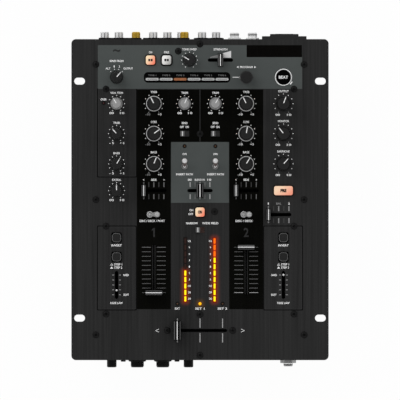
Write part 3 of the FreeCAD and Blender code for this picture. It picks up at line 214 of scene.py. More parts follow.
shades, masks = {"Shade": "Float", "Height": "Float"}, {"Mask": "Float"}
effects = {
    "streaks": newGroup("brushedStreaks", "ShaderNodeTree", {
        "Place": "Vector", "Width": 0.5 * mm, "Length": 60 * mm, "Contrast": 0.1}, shades, brushedStreaks),
    "grain": newGroup("mouldedGrain", "ShaderNodeTree", {
        "Place": "Vector", "Size": 0.4 * mm, "Contrast": 0.1}, shades, mouldedGrain),
    "dust": newGroup("settledDust", "ShaderNodeTree", {"Place": "Vector", "Amount": 0.1}, masks, settledDust),
    "area": newGroup("printedArea", "ShaderNodeTree", {
        "Place": "Vector", "Left": 0.0, "Right": 0.0, "Front": 0.0, "Rear": 0.0, "Corner": 0.5 * mm,
        "Edge": 0.15 * mm}, masks, printedArea),
}


def effect(name, spot, **values):
    made = place(spot.tree, "ShaderNodeGroup", {"Place": spot, **values}, node_tree=effects[name])
    return [wire(spot.tree, socket) for socket in made.outputs]


# Finishes
def newFinish(name, sockets):
    material = bpy.data.materials.new(name)
    material.use_nodes = True
    tree = material.node_tree
    tree.nodes.clear()
    shader = place(tree, "ShaderNodeBsdfPrincipled", sockets)
    place(tree, "ShaderNodeOutputMaterial", {"Surface": wire(tree, shader.outputs["BSDF"])})
    return material, shader, flow(tree, "ShaderNodeTexCoord", output="Object")


def shadeColour(shade, colour):  # a colour darkened or lightened by a shade about 1
    bright = flow(shade.tree, "ShaderNodeCombineColor", {0: shade, 1: shade, 2: shade})
    return blend(shade.tree, 1.0, colour, bright, "MULTIPLY")


def feed(shader, **sockets):
    for name, value in sockets.items():
        value.tree.links.new(value.socket, shader.inputs[name.replace("_", " ")])


def bump(height, depth):
    return flow(height.tree, "ShaderNodeBump", {"Height": height, "Distance": depth, "Strength": 1.0})


dustColour = grey(120)
plainShine = 0.2  # specular level of plastic and ink
metalLook = {"dust": 0.04, "depth": 0.004 * mm}
inkLook = {"grain": 0.15 * mm, "contrast": 0.1, "rough": 0.55}
glowLook = {"rough": 0.3, "cloud": 2.0 * mm}


def mouldedFinish(name, colour, rough, shine=plainShine, grain=0.35, depth=0.02, contrast=0.12, dust=0.05):
    material, shader, spot = newFinish(name, {"Specular IOR Level": shine})
    shade, height = effect("grain", spot, Size=grain * mm, Contrast=contrast)
    mask, = effect("dust", spot, Amount=dust)
    feed(shader, Base_Color=blend(spot.tree, mask, shadeColour(shade, colour), dustColour),
         Roughness=shade * rough + mask * 0.5, Normal=bump(height, depth * mm))
    return material


def metalFinish(name, colour, rough, metallic=1.0, width=0.25, length=4, contrast=0.12):
    material, shader, spot = newFinish(name, {"Metallic": metallic})
    shade, height = effect("streaks", spot, Width=width * mm, Length=length * mm, Contrast=contrast)
    mask, = effect("dust", spot, Amount=metalLook["dust"])
    feed(shader, Base_Color=blend(spot.tree, mask, shadeColour(shade, colour), dustColour),
         Roughness=shade * rough + mask, Normal=bump(height, metalLook["depth"]))
    return material


def glowFinish(name, colour, edgeColour, strength):  # a lit diffuser with a cloudy body
    material, shader, spot = newFinish(name, {
        "Roughness": glowLook["rough"], "Emission Strength": strength, "Specular IOR Level": plainShine})
    cloud = noise(spot, 1 / glowLook["cloud"], 1.0)
    mixed = blend(spot.tree, cloud * 0.5, colour, edgeColour)
    feed(shader, Base_Color=shadeColour(cloud, mixed), Emission_Color=mixed)
    return material


def inkFinish(name, level):  # screen-printed ink, slightly uneven
    material, shader, spot = newFinish(name, {"Specular IOR Level": plainShine})
    shade, height = effect("grain", spot, Size=inkLook["grain"], Contrast=inkLook["contrast"])
    feed(shader, Base_Color=shadeColour(shade, grey(level)), Roughness=shade * inkLook["rough"])
    return material


ringMoulding = {"grain": 0.2, "depth": 0.004, "contrast": 0.06, "dust": 0.02}
moulded = {  # colour, roughness, shine, then what differs from plain moulding; lengths in millimetres
    "knobBlack": (grey(32), 0.42, 0.1, {"depth": 0.012}),
    # knobFlank is a darker copy of knobBlack: painted shade on the sloped and side faces of the knobs
    "knobFlank": (grey(17), 0.5, 0.08, {"depth": 0.012}),
    "ringSilver": (grey(226), 0.3, plainShine, ringMoulding),
    # the sloped edge of the tone knobs' rings, darker than the ring as painted shade
    "ringBevel": (grey(140), 0.3, plainShine, ringMoulding),
    "capBlack": (grey(6), 0.45, 0.05, {"depth": 0.012}),
    "capGrey": (grey(44), 0.45, 0.08, {"depth": 0.012}),
    # pale beads on the slide caps: painted highlight of their lit edges
    "capRidge": (grey(84), 0.4, 0.1, {"grain": 0.2}),
    "slotFelt": (grey(38), 0.9, plainShine, {"grain": 0.25, "depth": 0.05, "contrast": 0.3}),
    "stubWhite": (grey(208), 0.4, plainShine, {}),
    "nubGrey": (grey(88), 0.45, plainShine, {}),
    "nubRidge": (grey(206), 0.45, plainShine, {}),
    "switchFloor": (grey(92), 0.5, plainShine, {}),
    "switchBrown": (tone(112, 86, 80), 0.5, plainShine, {}),
    "keyBlack": (grey(34), 0.4, 0.1, {}),
    # a lighter copy of keyBlack on the keys' rounded edges: painted highlight
    "keyRim": (grey(104), 0.4, 0.1, {}),
    "frontBlack": (grey(18), 0.4, 0.12, {}),
    "tapBlack": (grey(2), 0.3, 0.03, {"dust": 0.01}),
    "switchBlack": (grey(6), 0.5, 0.08, {}),
    "socketBlack": (grey(20), 0.6, 0.08, {}),
    "inletGrey": (grey(48), 0.6, 0.08, {}),
    "caseBlack": (grey(34), 0.5, plainShine, {"grain": 0.6, "depth": 0.03}),
    "footRubber": (grey(22), 0.75, plainShine, {"grain": 0.5, "depth": 0.05, "dust": 0.3}),
    "screwBlack": (grey(17), 0.45, 0.08, {"grain": 0.2, "depth": 0.006}),
    "ringWhite": (grey(238), 0.3, plainShine, {"contrast": 0.04, "dust": 0.04}),
    "displayBlack": (grey(3), 0.15, 0.12, {"depth": 0.002, "dust": 0.01}),
    "lampDark": (tone(72, 48, 28), 0.2, plainShine, {"depth": 0.002}),
    "lampRed": (tone(58, 20, 20), 0.2, plainShine, {"depth": 0.002}),
    "insetWhite": (grey(205), 0.4, plainShine, {}),
    "insetRed": (tone(170, 32, 30), 0.4, plainShine, {}),
    "segmentDark": (tone(48, 32, 28), 0.25, 0.1, {"depth": 0.002}),
    "segmentPale": (grey(172), 0.3, plainShine, {"contrast": 0.8, "grain": 1.4, "depth": 0.002}),
}
metals = {  # colour, roughness, share of metal, width and length of the streaks in millimetres, contrast
    "knobSilver": (grey(153), 0.42, 0.25, 0.25, 0.6, 0.08),
    # on the silver knobs the chamfer is painted shade and the flank painted highlight; the toggles' necks use the same
    # lighter copy
    "silverEdge": (grey(128), 0.35, 0.4, 0.25, 0.6, 0.1),
    "silverFlank": (grey(176), 0.35, 0.25, 0.25, 0.6, 0.1),
    "shaftSteel": (grey(150), 0.3),
    "nickel": (grey(242), 0.25, 0.15, 1.1, 9, 0.3),
    "nutSteel": (grey(160), 0.25, 0.3, 1.1, 9, 0.4),
    "gold": (tone(204, 166, 50), 0.3, 0.4, 0.9, 6, 0.4),
    "toggleSatin": (grey(170), 0.45, 0.25, 0.25, 0.8, 0.05),
    "toggleTip": (grey(206), 0.4, 0.15, 0.25, 0.8, 0.04),
    # toggleNeck: painted shade with a reddish painted reflection, on the loop toggles' levers
    "toggleNeck": (tone(112, 98, 95), 0.4, 0.3, 0.25, 0.8, 0.08),
    "threadSteel": (grey(96), 0.3, 0.5),
}
glows = {  # two colours, strength
    "lampAmber": (tone(255, 186, 10), tone(255, 150, 0), 0.9),
    "segmentYellow": (tone(255, 236, 20), tone(255, 190, 0), 0.9),
    "segmentOrange": (tone(255, 112, 4), tone(240, 70, 4), 0.9),
    "segmentBed": (tone(176, 50, 8), tone(150, 36, 6), 0.6),
    "segmentLit": (tone(150, 96, 64), tone(120, 78, 56), 0.55),
}
inks = {  # grey levels
    "pointerWhite": 224, "inkWhite": 238, "inkPale": 206, "inkSoft": 158, "inkGrey": 128, "inkMark": 104,
    "inkLine": 98, "inkDim": 56, "inkNumber": 40, "inkDark": 36, "inkBlack": 9,
}
finishes = {name: mouldedFinish(name, *look, **more) for name, (*look, more) in moulded.items()}
finishes.update((name, metalFinish(name, *look)) for name, look in metals.items())
finishes.update((name, glowFinish(name, *look)) for name, look in glows.items())
finishes.update((name, inkFinish(name, level)) for name, level in inks.items())
print("finishes made:", len(finishes))


# The panel's own finish: brushed sheet, printed fields, scored outlines drawn as a dark line of painted shade beside a
# lighter line of painted highlight, and the light that spills from the meters
printedFields = {  # left, right, front, rear in millimetres, and the ink
    "effectBand": (-100.9, 100.9, 109.4, 152.6, tone(73, 77, 76)),
    "badgePlate": (46.0, 100.8, 140.7, 152.6, tone(4, 3, 2)),
    "gainField": (-62.4, 62.4, 56.0, 108.7, tone(4, 4, 2)),
    "leftStrip": (-62.4, -28.8, -108.2, 60.0, tone(4, 4, 2)),
    "rightStrip": (28.8, 62.4, -108.2, 60.0, tone(4, 4, 2)),
    "loopBlock": (-28.6, 28.6, -3.1, 56.9, tone(73, 77, 76)),
    "middleLine": (-0.5, 0.5, 56.9, 108.7, grey(40)),
}
# outlines drawn in painted shade and painted highlight
scoredBoxes = {  # left, right, front, rear in millimetres
    "voiceBox": (-100.8, -63.1, 22.8, 109.4),
    "leftShapeBox": (-100.9, -63.4, -108.5, -26.5),
    "rightShapeBox": (63.4, 100.9, -108.5, -26.5),
}
spilledLight = {  # left, right, front, rear in millimetres, and the colour
    "leftMeter": (-15.6, -13.4, -100.5, -70.5, tone(118, 38, 10)),
    "rightMeter": (13.3, 15.5, -100.5, -38.5, tone(120, 34, 12)),
    "amberLamp": (-1.2, 1.2, -104.0, -101.6, tone(78, 46, 0)),
}
panelLook = {
    "brushed": grey(40), "streakWidth": 2.2 * mm, "streakLength": 150 * mm, "streakContrast": 0.9,
    # score is the painted shade of the groove, scoreLight the painted highlight beside it
    "score": grey(6), "scoreLight": grey(46), "scoreWidth": 0.9 * mm, "scoreCorner": 1.0 * mm,
    "cornerStep": 0.2 * mm, "scoreShare": 0.5, "spillReach": 5.8 * mm, "spillStrength": 1.0, "rough": 0.36,
    "inkRough": 0.34, "inkGrain": 0.5 * mm, "inkContrast": 0.1, "dust": 0.025, "shine": 0.045, "depth": 0.006 * mm,
}
lensLook = {"colour": tone(30, 25, 24), "shine": 0.1, "grain": 0.3 * mm, "contrast": 0.1, "rough": 0.2}


def fieldMask(spot, box, grown=0.0, corner=0.4 * mm, edge=0.15 * mm):
    left, right, front, rear = (value * mm for value in box[:4])
    return effect("area", spot, Left=left - grown, Right=right + grown, Front=front - grown, Rear=rear + grown,
                  Corner=corner, Edge=edge)[0]


def spillGlow(spot):  # light from the lit bars and the amber lamp, fading with distance
    reach = panelLook["spillReach"]
    glow = None
    for box in spilledLight.values():
        mask = fieldMask(spot, box, reach / 2, reach / 2, reach)
        lit = blend(spot.tree, mask * mask, grey(0), box[4])
        glow = blend(spot.tree, 1.0, glow, lit, "ADD") if glow else lit
    return glow


def lensFinish():  # smoked meter windows that take the glow of their bars
    look = lensLook
    material, shader, spot = newFinish("lensSmoke", {
        "Specular IOR Level": look["shine"], "Emission Strength": panelLook["spillStrength"]})
    shade, height = effect("grain", spot, Size=look["grain"], Contrast=look["contrast"])
    feed(shader, Base_Color=shadeColour(shade, look["colour"]), Emission_Color=spillGlow(spot),
         Roughness=shade * look["rough"])
    return material


def panelFinish():
    look = panelLook
    material, shader, spot = newFinish("panelBrushed", {
        "Specular IOR Level": look["shine"], "Emission Strength": look["spillStrength"]})
    tree = spot.tree
    streak, hair = effect("streaks", spot, Width=look["streakWidth"], Length=look["streakLength"],
                          Contrast=look["streakContrast"])
    colour = shadeColour(streak, look["brushed"])
    for box in scoredBoxes.values():
        outer, middle, inner = (
            fieldMask(spot, box, step * look["scoreWidth"], look["scoreCorner"] + step * look["cornerStep"])
            for step in (1, 0, -1))
        # painted shade in each score line, then a band of painted highlight along its inner side
        colour = blend(tree, outer - middle, colour, look["score"])
        colour = blend(tree, (middle - inner) * look["scoreShare"], colour, look["scoreLight"])
    printed = None
    shade, grain = effect("grain", spot, Size=look["inkGrain"], Contrast=look["inkContrast"])
    for box in printedFields.values():
        mask = fieldMask(spot, box)
        colour = blend(tree, mask, colour, shadeColour(shade, box[4]))
        printed = printed.calc("MAXIMUM", mask) if printed else mask
    dust, = effect("dust", spot, Amount=look["dust"])
    rough = mix(tree, printed, look["rough"], look["inkRough"])
    feed(shader, Base_Color=blend(tree, dust, colour, dustColour), Emission_Color=spillGlow(spot),
         Roughness=streak * rough + dust, Normal=bump(mix(tree, printed, hair, grain), look["depth"]))
    return material


litKeys = {  # colour at the upper left, colour at the lower right, share of its own light
    "fx_on_button": (tone(252, 224, 186), tone(250, 138, 110), 0.42),
    "cue_button": (tone(252, 216, 184), tone(246, 158, 132), 0.42),
    "fx_center_button": (tone(252, 224, 186), tone(250, 138, 110), 0.42),
    # on the white key the darker lower right is painted shade
    "fx_cue_button": (tone(240, 239, 237), tone(172, 170, 168), 0.1),
}
diffuser = {"across": 0.8, "along": 1.3, "slope": 0.85, "start": 0.42, "whole": 0.98, "grain": 0.6 * mm,
            "contrast": 0.06, "depth": 0.004 * mm}


def litKeyFinish(node):  # a diffuser, pale at its upper left and deeper at its lower right
    pale, deep, glow = litKeys[node]
    x, y = columnOf(node)
    low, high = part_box(node)
    material, shader, spot = newFinish(node + "Diffuser", {
        "Roughness": glowLook["rough"], "Specular IOR Level": plainShine, "Emission Strength": glow})
    centred = flow(spot.tree, "ShaderNodeMapping", {"Vector": spot, "Location": (-x, -y, 0.0)})
    slope = (axisOf(centred, "X") / ((high.x - low.x) * diffuser["across"])
             - axisOf(centred, "Y") / ((high.y - low.y) * diffuser["along"]))
    warm = blend(spot.tree, (slope * diffuser["slope"] + diffuser["start"]).clamped(), pale, deep)
    shade, height = effect("grain", spot, Size=diffuser["grain"], Contrast=diffuser["contrast"])
    matte = shade * (diffuser["whole"] - glow)  # the rest of the colour is its own light
    feed(shader, Base_Color=shadeColour(matte, warm), Emission_Color=warm, Normal=bump(height, diffuser["depth"]))
    return material


boardLook = {"rough": 0.35, "scale": 160.0, "track": 0.05, "grain": 0.8 * mm, "contrast": 0.15}


def boardFinish():  # green lacquer over copper tracks
    material, shader, spot = newFinish("boardGreen", {"Roughness": boardLook["rough"]})
    tracks = flow(spot.tree, "ShaderNodeTexBrick", {
        "Vector": spot, "Scale": boardLook["scale"], "Mortar Size": boardLook["track"], "Color1": tone(14, 62, 30),
        "Color2": tone(18, 72, 36), "Mortar": tone(40, 110, 60)}, "Color")
    shade, height = effect("grain", spot, Size=boardLook["grain"], Contrast=boardLook["contrast"])
    feed(shader, Base_Color=shadeColour(shade, tracks))
    return material


finishes["panelBrushed"] = panelFinish()
finishes["boardGreen"] = boardFinish()
finishes["lensSmoke"] = lensFinish()


# The CAD nodes take their finishes, face by face where one node holds several materials
def dress(name, used, pick=None):
    mesh = nodes[name].data
    mesh.materials.clear()
    for finish in used:
        mesh.materials.append(finishes[finish])
    for polygon in mesh.polygons:
        polygon.material_index = used.index(pick(polygon.center, polygon.normal)) if pick else 0


pointerTurns = {  # degrees clockwise from the rear, at rest
    "fx_assign": 40, "fx_frequency": -59, "mic_gain": -32, "mic_high": -42, "mic_low": 32, "aux_in": 0,
    "ch1_gain": 22, "ch1_high": -26, "ch1_mid": 54, "ch1_low": 22, "ch2_gain": 28, "ch2_high": -26, "ch2_mid": 10,
    "ch2_low": 32, "master": 20, "aux_out": -38, "cue_gain": 42,
}
knobShape = {
    "pointerHalf": 0.42585 * mm, "pointerStart": 0.45 * mm, "ringInside": 5.97 * mm, "ringTop": 2.41 * mm,
    "shaftRadius": 3.02 * mm, "shaftTop": 8 * mm, "rim": 6.1 * mm, "rimTop": 4 * mm, "flankSlope": 0.2,
    "faceSlope": 0.95, "selectSlope": 0.5,
}
silverKnobs = ("mic_gain", "ch1_gain", "ch2_gain")
ringedKnobs = ("ch1_high", "ch1_mid", "ch1_low", "ch2_high", "ch2_mid", "ch2_low")
levelNames = ("master", "aux_out", "cue_gain")


def dressKnob(name):
    x, y = columnOf(name + "_knob")
    turn = math.radians(pointerTurns[name])
    cap, edge, flank = "knobBlack", "knobBlack", "knobBlack"
    # on the tone and level knobs the faces below the top take a darker copy of the finish as painted shade; on the
    # silver knobs the chamfer is painted shade and the flank painted highlight
    if name in silverKnobs:
        cap, edge, flank = "knobSilver", "silverEdge", "silverFlank"
    elif name in ringedKnobs + levelNames:
        edge, flank = "knobFlank", "knobFlank"

    def pick(spot, normal):
        dx, dy, height = spot.x - x, spot.y - y, spot.z - panelTop
        side = dx * math.cos(turn) - dy * math.sin(turn)
        ahead = dx * math.sin(turn) + dy * math.cos(turn)
        radius = math.hypot(dx, dy)
        if radius < knobShape["shaftRadius"] and height < knobShape["shaftTop"]:
            return "shaftSteel"
        if name in ringedKnobs and radius > knobShape["ringInside"] and height < knobShape["ringTop"]:
            return "ringSilver" if normal.z > knobShape["faceSlope"] else "ringBevel"
        if abs(side) <= knobShape["pointerHalf"] and ahead > knobShape["pointerStart"]:
            return "pointerWhite"
        if name in silverKnobs and radius > knobShape["rim"] and height < knobShape["rimTop"]:
            return "knobFlank"
        if normal.z > knobShape["faceSlope"]:
            return cap
        return edge if normal.z > knobShape["flankSlope"] else flank

    used = [cap, edge, flank, "knobFlank", "pointerWhite", "ringSilver", "ringBevel", "shaftSteel"]
    dress(name + "_knob", used, pick)


for knob in pointerTurns:
    dressKnob(knob)
# the program knob's sides take painted shade
dress("fx_select_knob", ["knobBlack", "knobFlank"],
      lambda spot, normal: "knobBlack" if normal.z > knobShape["selectSlope"] else "knobFlank")

# Slide caps: the groove along the top is the white line
sliders = {  # widths of the two edge beads in millimetres, first at the left or front edge; the beads carry a painted highlight
    "fx_intensity_slider": (0.8, 0.6), "ch1_pan_slider": (0.6, 0.55), "ch2_pan_slider": (0.6, 0.55),
    "fx_loop_slider": (0.8, 0.6), "cue_mix_slider": (0.6, 0.55), "ch1_fader": (0.6, 0.65),
    "ch2_fader": (0.55, 1.35), "crossfader": (1.0, 0.6),
}
groove = {"half": 0.46 * mm, "deep": 0.5 * mm}


def laid(slider, along, across):  # the channel faders run along Y, the other caps along X
    return (across, along) if slider.endswith("_fader") else (along, across)


def dressCap(name):
    middle, top = middleOf(name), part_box(name)[1].z
    plastic = "capGrey" if name == "ch2_pan_slider" else "capBlack"  # one cap is dark grey, lighter than the rest

    def pick(spot, normal):
        offset = laid(name, spot.x - middle.x, spot.y - middle.y)[0]
        if spot.z > top - groove["deep"] and abs(offset) < groove["half"]:
            return "pointerWhite"
        return "shaftSteel" if spot.z < panelTop else plastic

    dress(name, [plastic, "pointerWhite", "shaftSteel"], pick)


for slider in sliders:
    dressCap(slider)

# Toggles, keys and the nodes of one finish
toggles = ("ch1_input_toggle", "ch2_input_toggle", "ch1_fx_loop_toggle", "ch2_fx_loop_toggle")
switchNubs = ("ch1_fx_switch", "ch2_fx_switch", "mono_stereo_switch")
plainNodes = {
    "frontBlack": ("front_knob_left", "front_knob_right", "front_button_left", "front_button_right"),
    "stubWhite": ("ch1_contour_slider", "ch2_contour_slider"), "tapBlack": ("tap_button",),
    "socketBlack": ("power_rocker",), "panelBrushed": ("top_panel",),
    "caseBlack": ("chassis_tray", "front_plate", "rear_plate"), "footRubber": ("feet",),
    "boardGreen": ("circuit_boards",), "screwBlack": ("fasteners",), "nubGrey": switchNubs,
}
crownSlope, keyFlank, keyFace = 0.45, 0.2, 0.95
# crown and neck by slope: on the loop toggles the neck is painted shade, on the input toggles a painted highlight
for bat in toggles:
    crown, neck = ("toggleTip", "toggleNeck") if "loop" in bat else ("toggleSatin", "silverFlank")
    dress(bat, [crown, neck], lambda spot, normal: crown if normal.z > crownSlope else neck)
for key in litKeys:
    finishes[key] = litKeyFinish(key)
    dress(key, [key])
# the rounded edges of these keys take painted highlight
for key in ("ch1_reverse_button", "ch1_mode_button", "ch2_reverse_button", "ch2_mode_button"):
    dress(key, ["keyBlack", "keyRim"],
          lambda spot, normal: "keyRim" if keyFlank < normal.z < keyFace else "keyBlack")
for finish, names in plainNodes.items():
    for name in names:
        dress(name, [finish])

# Bushings of the toggles are bright, the rest of the control bodies is black
bodyReach = {"nubTop": 2.5 * mm, "nubFloor": 5 * mm, "nubX": 8 * mm, "nubY": 3.2 * mm, "bushing": 3.2 * mm,
             "bushingFoot": 1.9 * mm, "level": 0.9}


def pickBody(spot, normal):
    depth = panelTop - spot.z
    if normal.z > bodyReach["level"] and bodyReach["nubTop"] < depth < bodyReach["nubFloor"]:
        for nub in switchNubs:
            x, y = columnOf(nub)
            if abs(spot.x - x) < bodyReach["nubX"] and abs(spot.y - y) < bodyReach["nubY"]:
                return "switchBrown" if "mono" in nub else "switchFloor"
    if depth < bodyReach["bushingFoot"]:
        for bat in toggles:
            x, y, z = joints[bat]["pos_m"]
            if math.hypot(spot.x - x, spot.y - y) < bodyReach["bushing"]:
                return "knobSilver" if "loop" in bat else "toggleTip"
    return "switchBlack"


dress("control_bodies", ["switchBlack", "knobSilver", "toggleTip", "switchFloor", "switchBrown"], pickBody)

# Lamps by where they stand
lampFinishes = {  # x and y in millimetres
    "lampAmber": ((0.0, -102.8),),
    "lampDark": ((-22.3, -102.8), (22.3, -102.8), (-15.2, 52.8), (15.2, 52.8)),
    "lampRed": ((-95.2, 95.3),),
    "ringWhite": (spotOf("tap_button"),),
}
lampReach = {"ring": 8.6 * mm, "lamp": 2.15 * mm, "meterRear": -30 * mm, "crown": 0.8}


def pickLamp(spot, normal):
    for finish, places in lampFinishes.items():
        reach = lampReach["ring" if finish == "ringWhite" else "lamp"]
        if any(math.hypot(spot.x - x * mm, spot.y - y * mm) < reach for x, y in places):
            # the sloped sides of the dark and red lamps are black: painted shade on their domes
            shadedSide = finish in ("lampDark", "lampRed") and normal.z < lampReach["crown"]
            return "displayBlack" if shadedSide else finish
    return "lensSmoke" if spot.y < lampReach["meterRear"] else "displayBlack"


dress("indicators", ["displayBlack", "lensSmoke", *lampFinishes], pickLamp)

# Rear and front connectors: bright sleeves, gold posts, coloured insets
groundPosts = {"columns": (-63.3, -15.4), "height": 64.0, "radius": 5.2}  # in millimetres
phonoSpots = {name: spot for name, spot in mounts.items()
              if name.startswith("phono") and not name.endswith("hole")}
phonoReach = {"inset": 3.49 * mm, "sleeve": 4.3 * mm, "bossFace": 160 * mm, "level": 0.9}
jackReach = {"radius": 9 * mm, "face": 156.5 * mm}
inletBlades = {"columns": (76.4, 83.4, 90.4), "height": 55.0, "halfWide": 1.05, "halfTall": 4.1, "root": 147,
               "tip": 157.3}  # in millimetres
inletSide = 60 * mm  # the inlet is beyond this column


def pickPhono(spot, normal):
    for x in groundPosts["columns"]:
        if math.hypot(spot.x - x * mm, spot.z - groundPosts["height"] * mm) < groundPosts["radius"] * mm:
            return "gold"
    for name, centre in phonoSpots.items():
        radius = math.hypot(spot.x - centre[0], spot.z - centre[2])
        if radius < phonoReach["inset"]:
            return "insetRed" if name.endswith("lower") else "insetWhite"
        if radius < phonoReach["sleeve"]:
            boss = normal.y > phonoReach["level"] and spot.y < phonoReach["bossFace"]
            return "socketBlack" if boss else "nickel"
    return "socketBlack"


def pickSocket(spot, normal):
    for name in ("line_jack_a", "line_jack_b", "headphone_jack"):
        x, y, z = mounts[name]
        near = math.hypot(spot.x - x, spot.z - z) < jackReach["radius"] and spot.y * y > 0
        if near and abs(spot.y) > jackReach["face"]:
            return "nutSteel" if name == "headphone_jack" else "nickel"
    blades = inletBlades
    level = abs(spot.z - blades["height"] * mm) < blades["halfTall"] * mm
    if level and blades["root"] * mm < spot.y < blades["tip"] * mm:
        if any(abs(spot.x - x * mm) < blades["halfWide"] * mm for x in blades["columns"]):
            return "nickel"
    return "inletGrey" if spot.x > inletSide and spot.y > 0 else "socketBlack"


dress("rca_jacks", ["socketBlack", "nickel", "gold", "insetWhite", "insetRed"], pickPhono)
dress("panel_sockets", ["socketBlack", "inletGrey", "nickel", "nutSteel"], pickSocket)
print("nodes dressed")


# Geometry trees for what repeats
def instanceOn(points, shape, **extra):
    sockets = {"Points": points, "Instance": shape, **extra}
    return flow(points.tree, "GeometryNodeInstanceOnPoints", sockets)


def inked(shape, ink):  # instances become a plain mesh with its material
    real = flow(shape.tree, "GeometryNodeRealizeInstances", {"Geometry": shape})
    return flow(shape.tree, "GeometryNodeSetMaterial", {"Geometry": real, "Material": ink}),


def rowPoints(count):  # points that differ only in their index
    line = flow(count.tree, "GeometryNodeMeshLine", {"Count": count, "Offset": (0.0, 0.0, 0.0)})
    return line, flow(count.tree, "GeometryNodeInputIndex")


def moveTo(points, x=0.0, y=0.0, z=0.0):
    sockets = {"Geometry": points, "Position": vector(points.tree, x, y, z)}
    return flow(points.tree, "GeometryNodeSetPosition", sockets)


def turnOf(tree):  # each centre may carry a turn about Z
    sockets = {"Name": "turn"}
    turn = flow(tree, "GeometryNodeInputNamedAttribute", sockets, "Attribute", data_type="FLOAT")
    return vector(tree, z=turn)


def joined(first, second):
    both = place(first.tree, "GeometryNodeJoinGeometry", {0: first})
    first.tree.links.new(second.socket, both.inputs[0])
    return wire(first.tree, both.outputs[0])


def block(x, y, z):
    return flow(x.tree, "GeometryNodeMeshCube", {"Size": vector(x.tree, x, y, z)})


def circle(radius, steps):
    return flow(radius.tree, "GeometryNodeCurvePrimitiveCircle", {"Resolution": steps, "Radius": radius})


inkRise = 0.05 * mm
fineness = {"dot": 14, "corner": 4, "hoop": 40, "crest": 8, "weld": 0.001 * mm}


def dotArc(centres, radius, first, step, count, dot, rise, ink):  # angles clockwise from the rear
    line, index = rowPoints(count)
    angle = first + index * step
    spots = moveTo(line, angle.calc("SINE") * radius, angle.calc("COSINE") * radius)
    disc = flow(ink.tree, "GeometryNodeMeshCylinder", {"Vertices": fineness["dot"], "Radius": dot, "Depth": rise},
                "Mesh")
    return inked(instanceOn(centres, instanceOn(spots, disc)), ink)


def tickRow(centres, count, pitch, gap, length, wide, rise, ink):  # ticks on both sides of a slot
    line, index = rowPoints(count)
    x = (index - (count - 1.0) * 0.5) * pitch
    reach = gap + length * 0.5
    tick = block(wide, length, rise)
    above, below = (instanceOn(moveTo(line, x, y), tick) for y in (reach, 0.0 - reach))
    return inked(instanceOn(centres, joined(above, below), Rotation=turnOf(ink.tree)), ink)


def roundBar(wide, tall, rise, corner):  # a flat bar with rounded corners, standing on z 0
    tree = wide.tree
    outline = flow(tree, "GeometryNodeCurvePrimitiveQuadrilateral", {"Width": wide, "Height": tall})
    rounded = flow(tree, "GeometryNodeFilletCurve", {
        "Curve": outline, "Radius": corner, "Limit Radius": True, "Count": fineness["corner"]}, mode="POLY")
    face = flow(tree, "GeometryNodeFillCurve", {"Curve": rounded}, mode="NGONS")
    raised = flow(tree, "GeometryNodeExtrudeMesh", {
        "Mesh": face, "Offset": vector(tree, z=rise), "Individual": False})
    under = flow(tree, "GeometryNodeFlipFaces", {"Mesh": face})
    sockets = {"Geometry": joined(raised, under), "Distance": fineness["weld"]}
    return flow(tree, "GeometryNodeMergeByDistance", sockets)


def segmentStack(centres, first, count, pitchX, pitchY, wide, tall, rise, corner, ink):  # bars in a row
    line, index = rowPoints(count)
    step = index + first
    bars = instanceOn(moveTo(line, step * pitchX, step * pitchY), roundBar(wide, tall, rise, corner))
    return inked(instanceOn(centres, bars, Rotation=turnOf(ink.tree)), ink)


def ribRing(centres, count, radius, wide, deep, length, ink):  # ribs round a piece whose axis runs along Y
    line, index = rowPoints(count)
    angle = index * (2 * math.pi) / count
    spots = moveTo(line, angle.calc("SINE") * radius, 0.0, angle.calc("COSINE") * radius)
    ring = instanceOn(spots, block(wide, length, deep), Rotation=vector(ink.tree, y=angle))
    return inked(instanceOn(centres, ring), ink)


def threadCrests(centres, count, pitch, radius, crest, ink):  # crests of a screw thread on a barrel along Y
    line, index = rowPoints(count)
    path, section = circle(radius, fineness["hoop"]), circle(crest, fineness["crest"])
    hoop = flow(ink.tree, "GeometryNodeCurveToMesh", {"Curve": path, "Profile Curve": section})
    upright = flow(ink.tree, "GeometryNodeTransform", {"Geometry": hoop, "Rotation": (math.pi / 2, 0.0, 0.0)})
    return inked(instanceOn(centres, instanceOn(moveTo(line, 0.0, index * pitch), upright)), ink)


step30 = math.radians(30)
treeInputs = {
    dotArc: {"Radius": 8.0 * mm, "First": 0.0, "Step": step30, "Count": 8, "Dot": 0.45 * mm, "Rise": inkRise},
    tickRow: {"Count": 5, "Pitch": 5.0 * mm, "Gap": 4.0 * mm, "Long": 5.0 * mm, "Wide": 1.0 * mm, "Rise": inkRise},
    segmentStack: {"First": 0, "Count": 1, "PitchX": 0.0, "PitchY": 0.0, "Wide": 2.8 * mm, "Tall": 5.1 * mm,
                   "Rise": inkRise, "Corner": 0.1 * mm},
    ribRing: {"Count": 24, "Radius": 4.0 * mm, "Wide": 0.5 * mm, "Deep": 0.4 * mm, "Long": 4.0 * mm},
    threadCrests: {"Count": 6, "Pitch": 0.6 * mm, "Radius": 4.5 * mm, "Crest": 0.22 * mm},
}
trees = {
    build: newGroup(build.__name__, "GeometryNodeTree", {"Centres": "Geometry", **inputs, "Ink": "Material"},
                    {"Marks": "Geometry"}, build)
    for build, inputs in treeInputs.items()
}


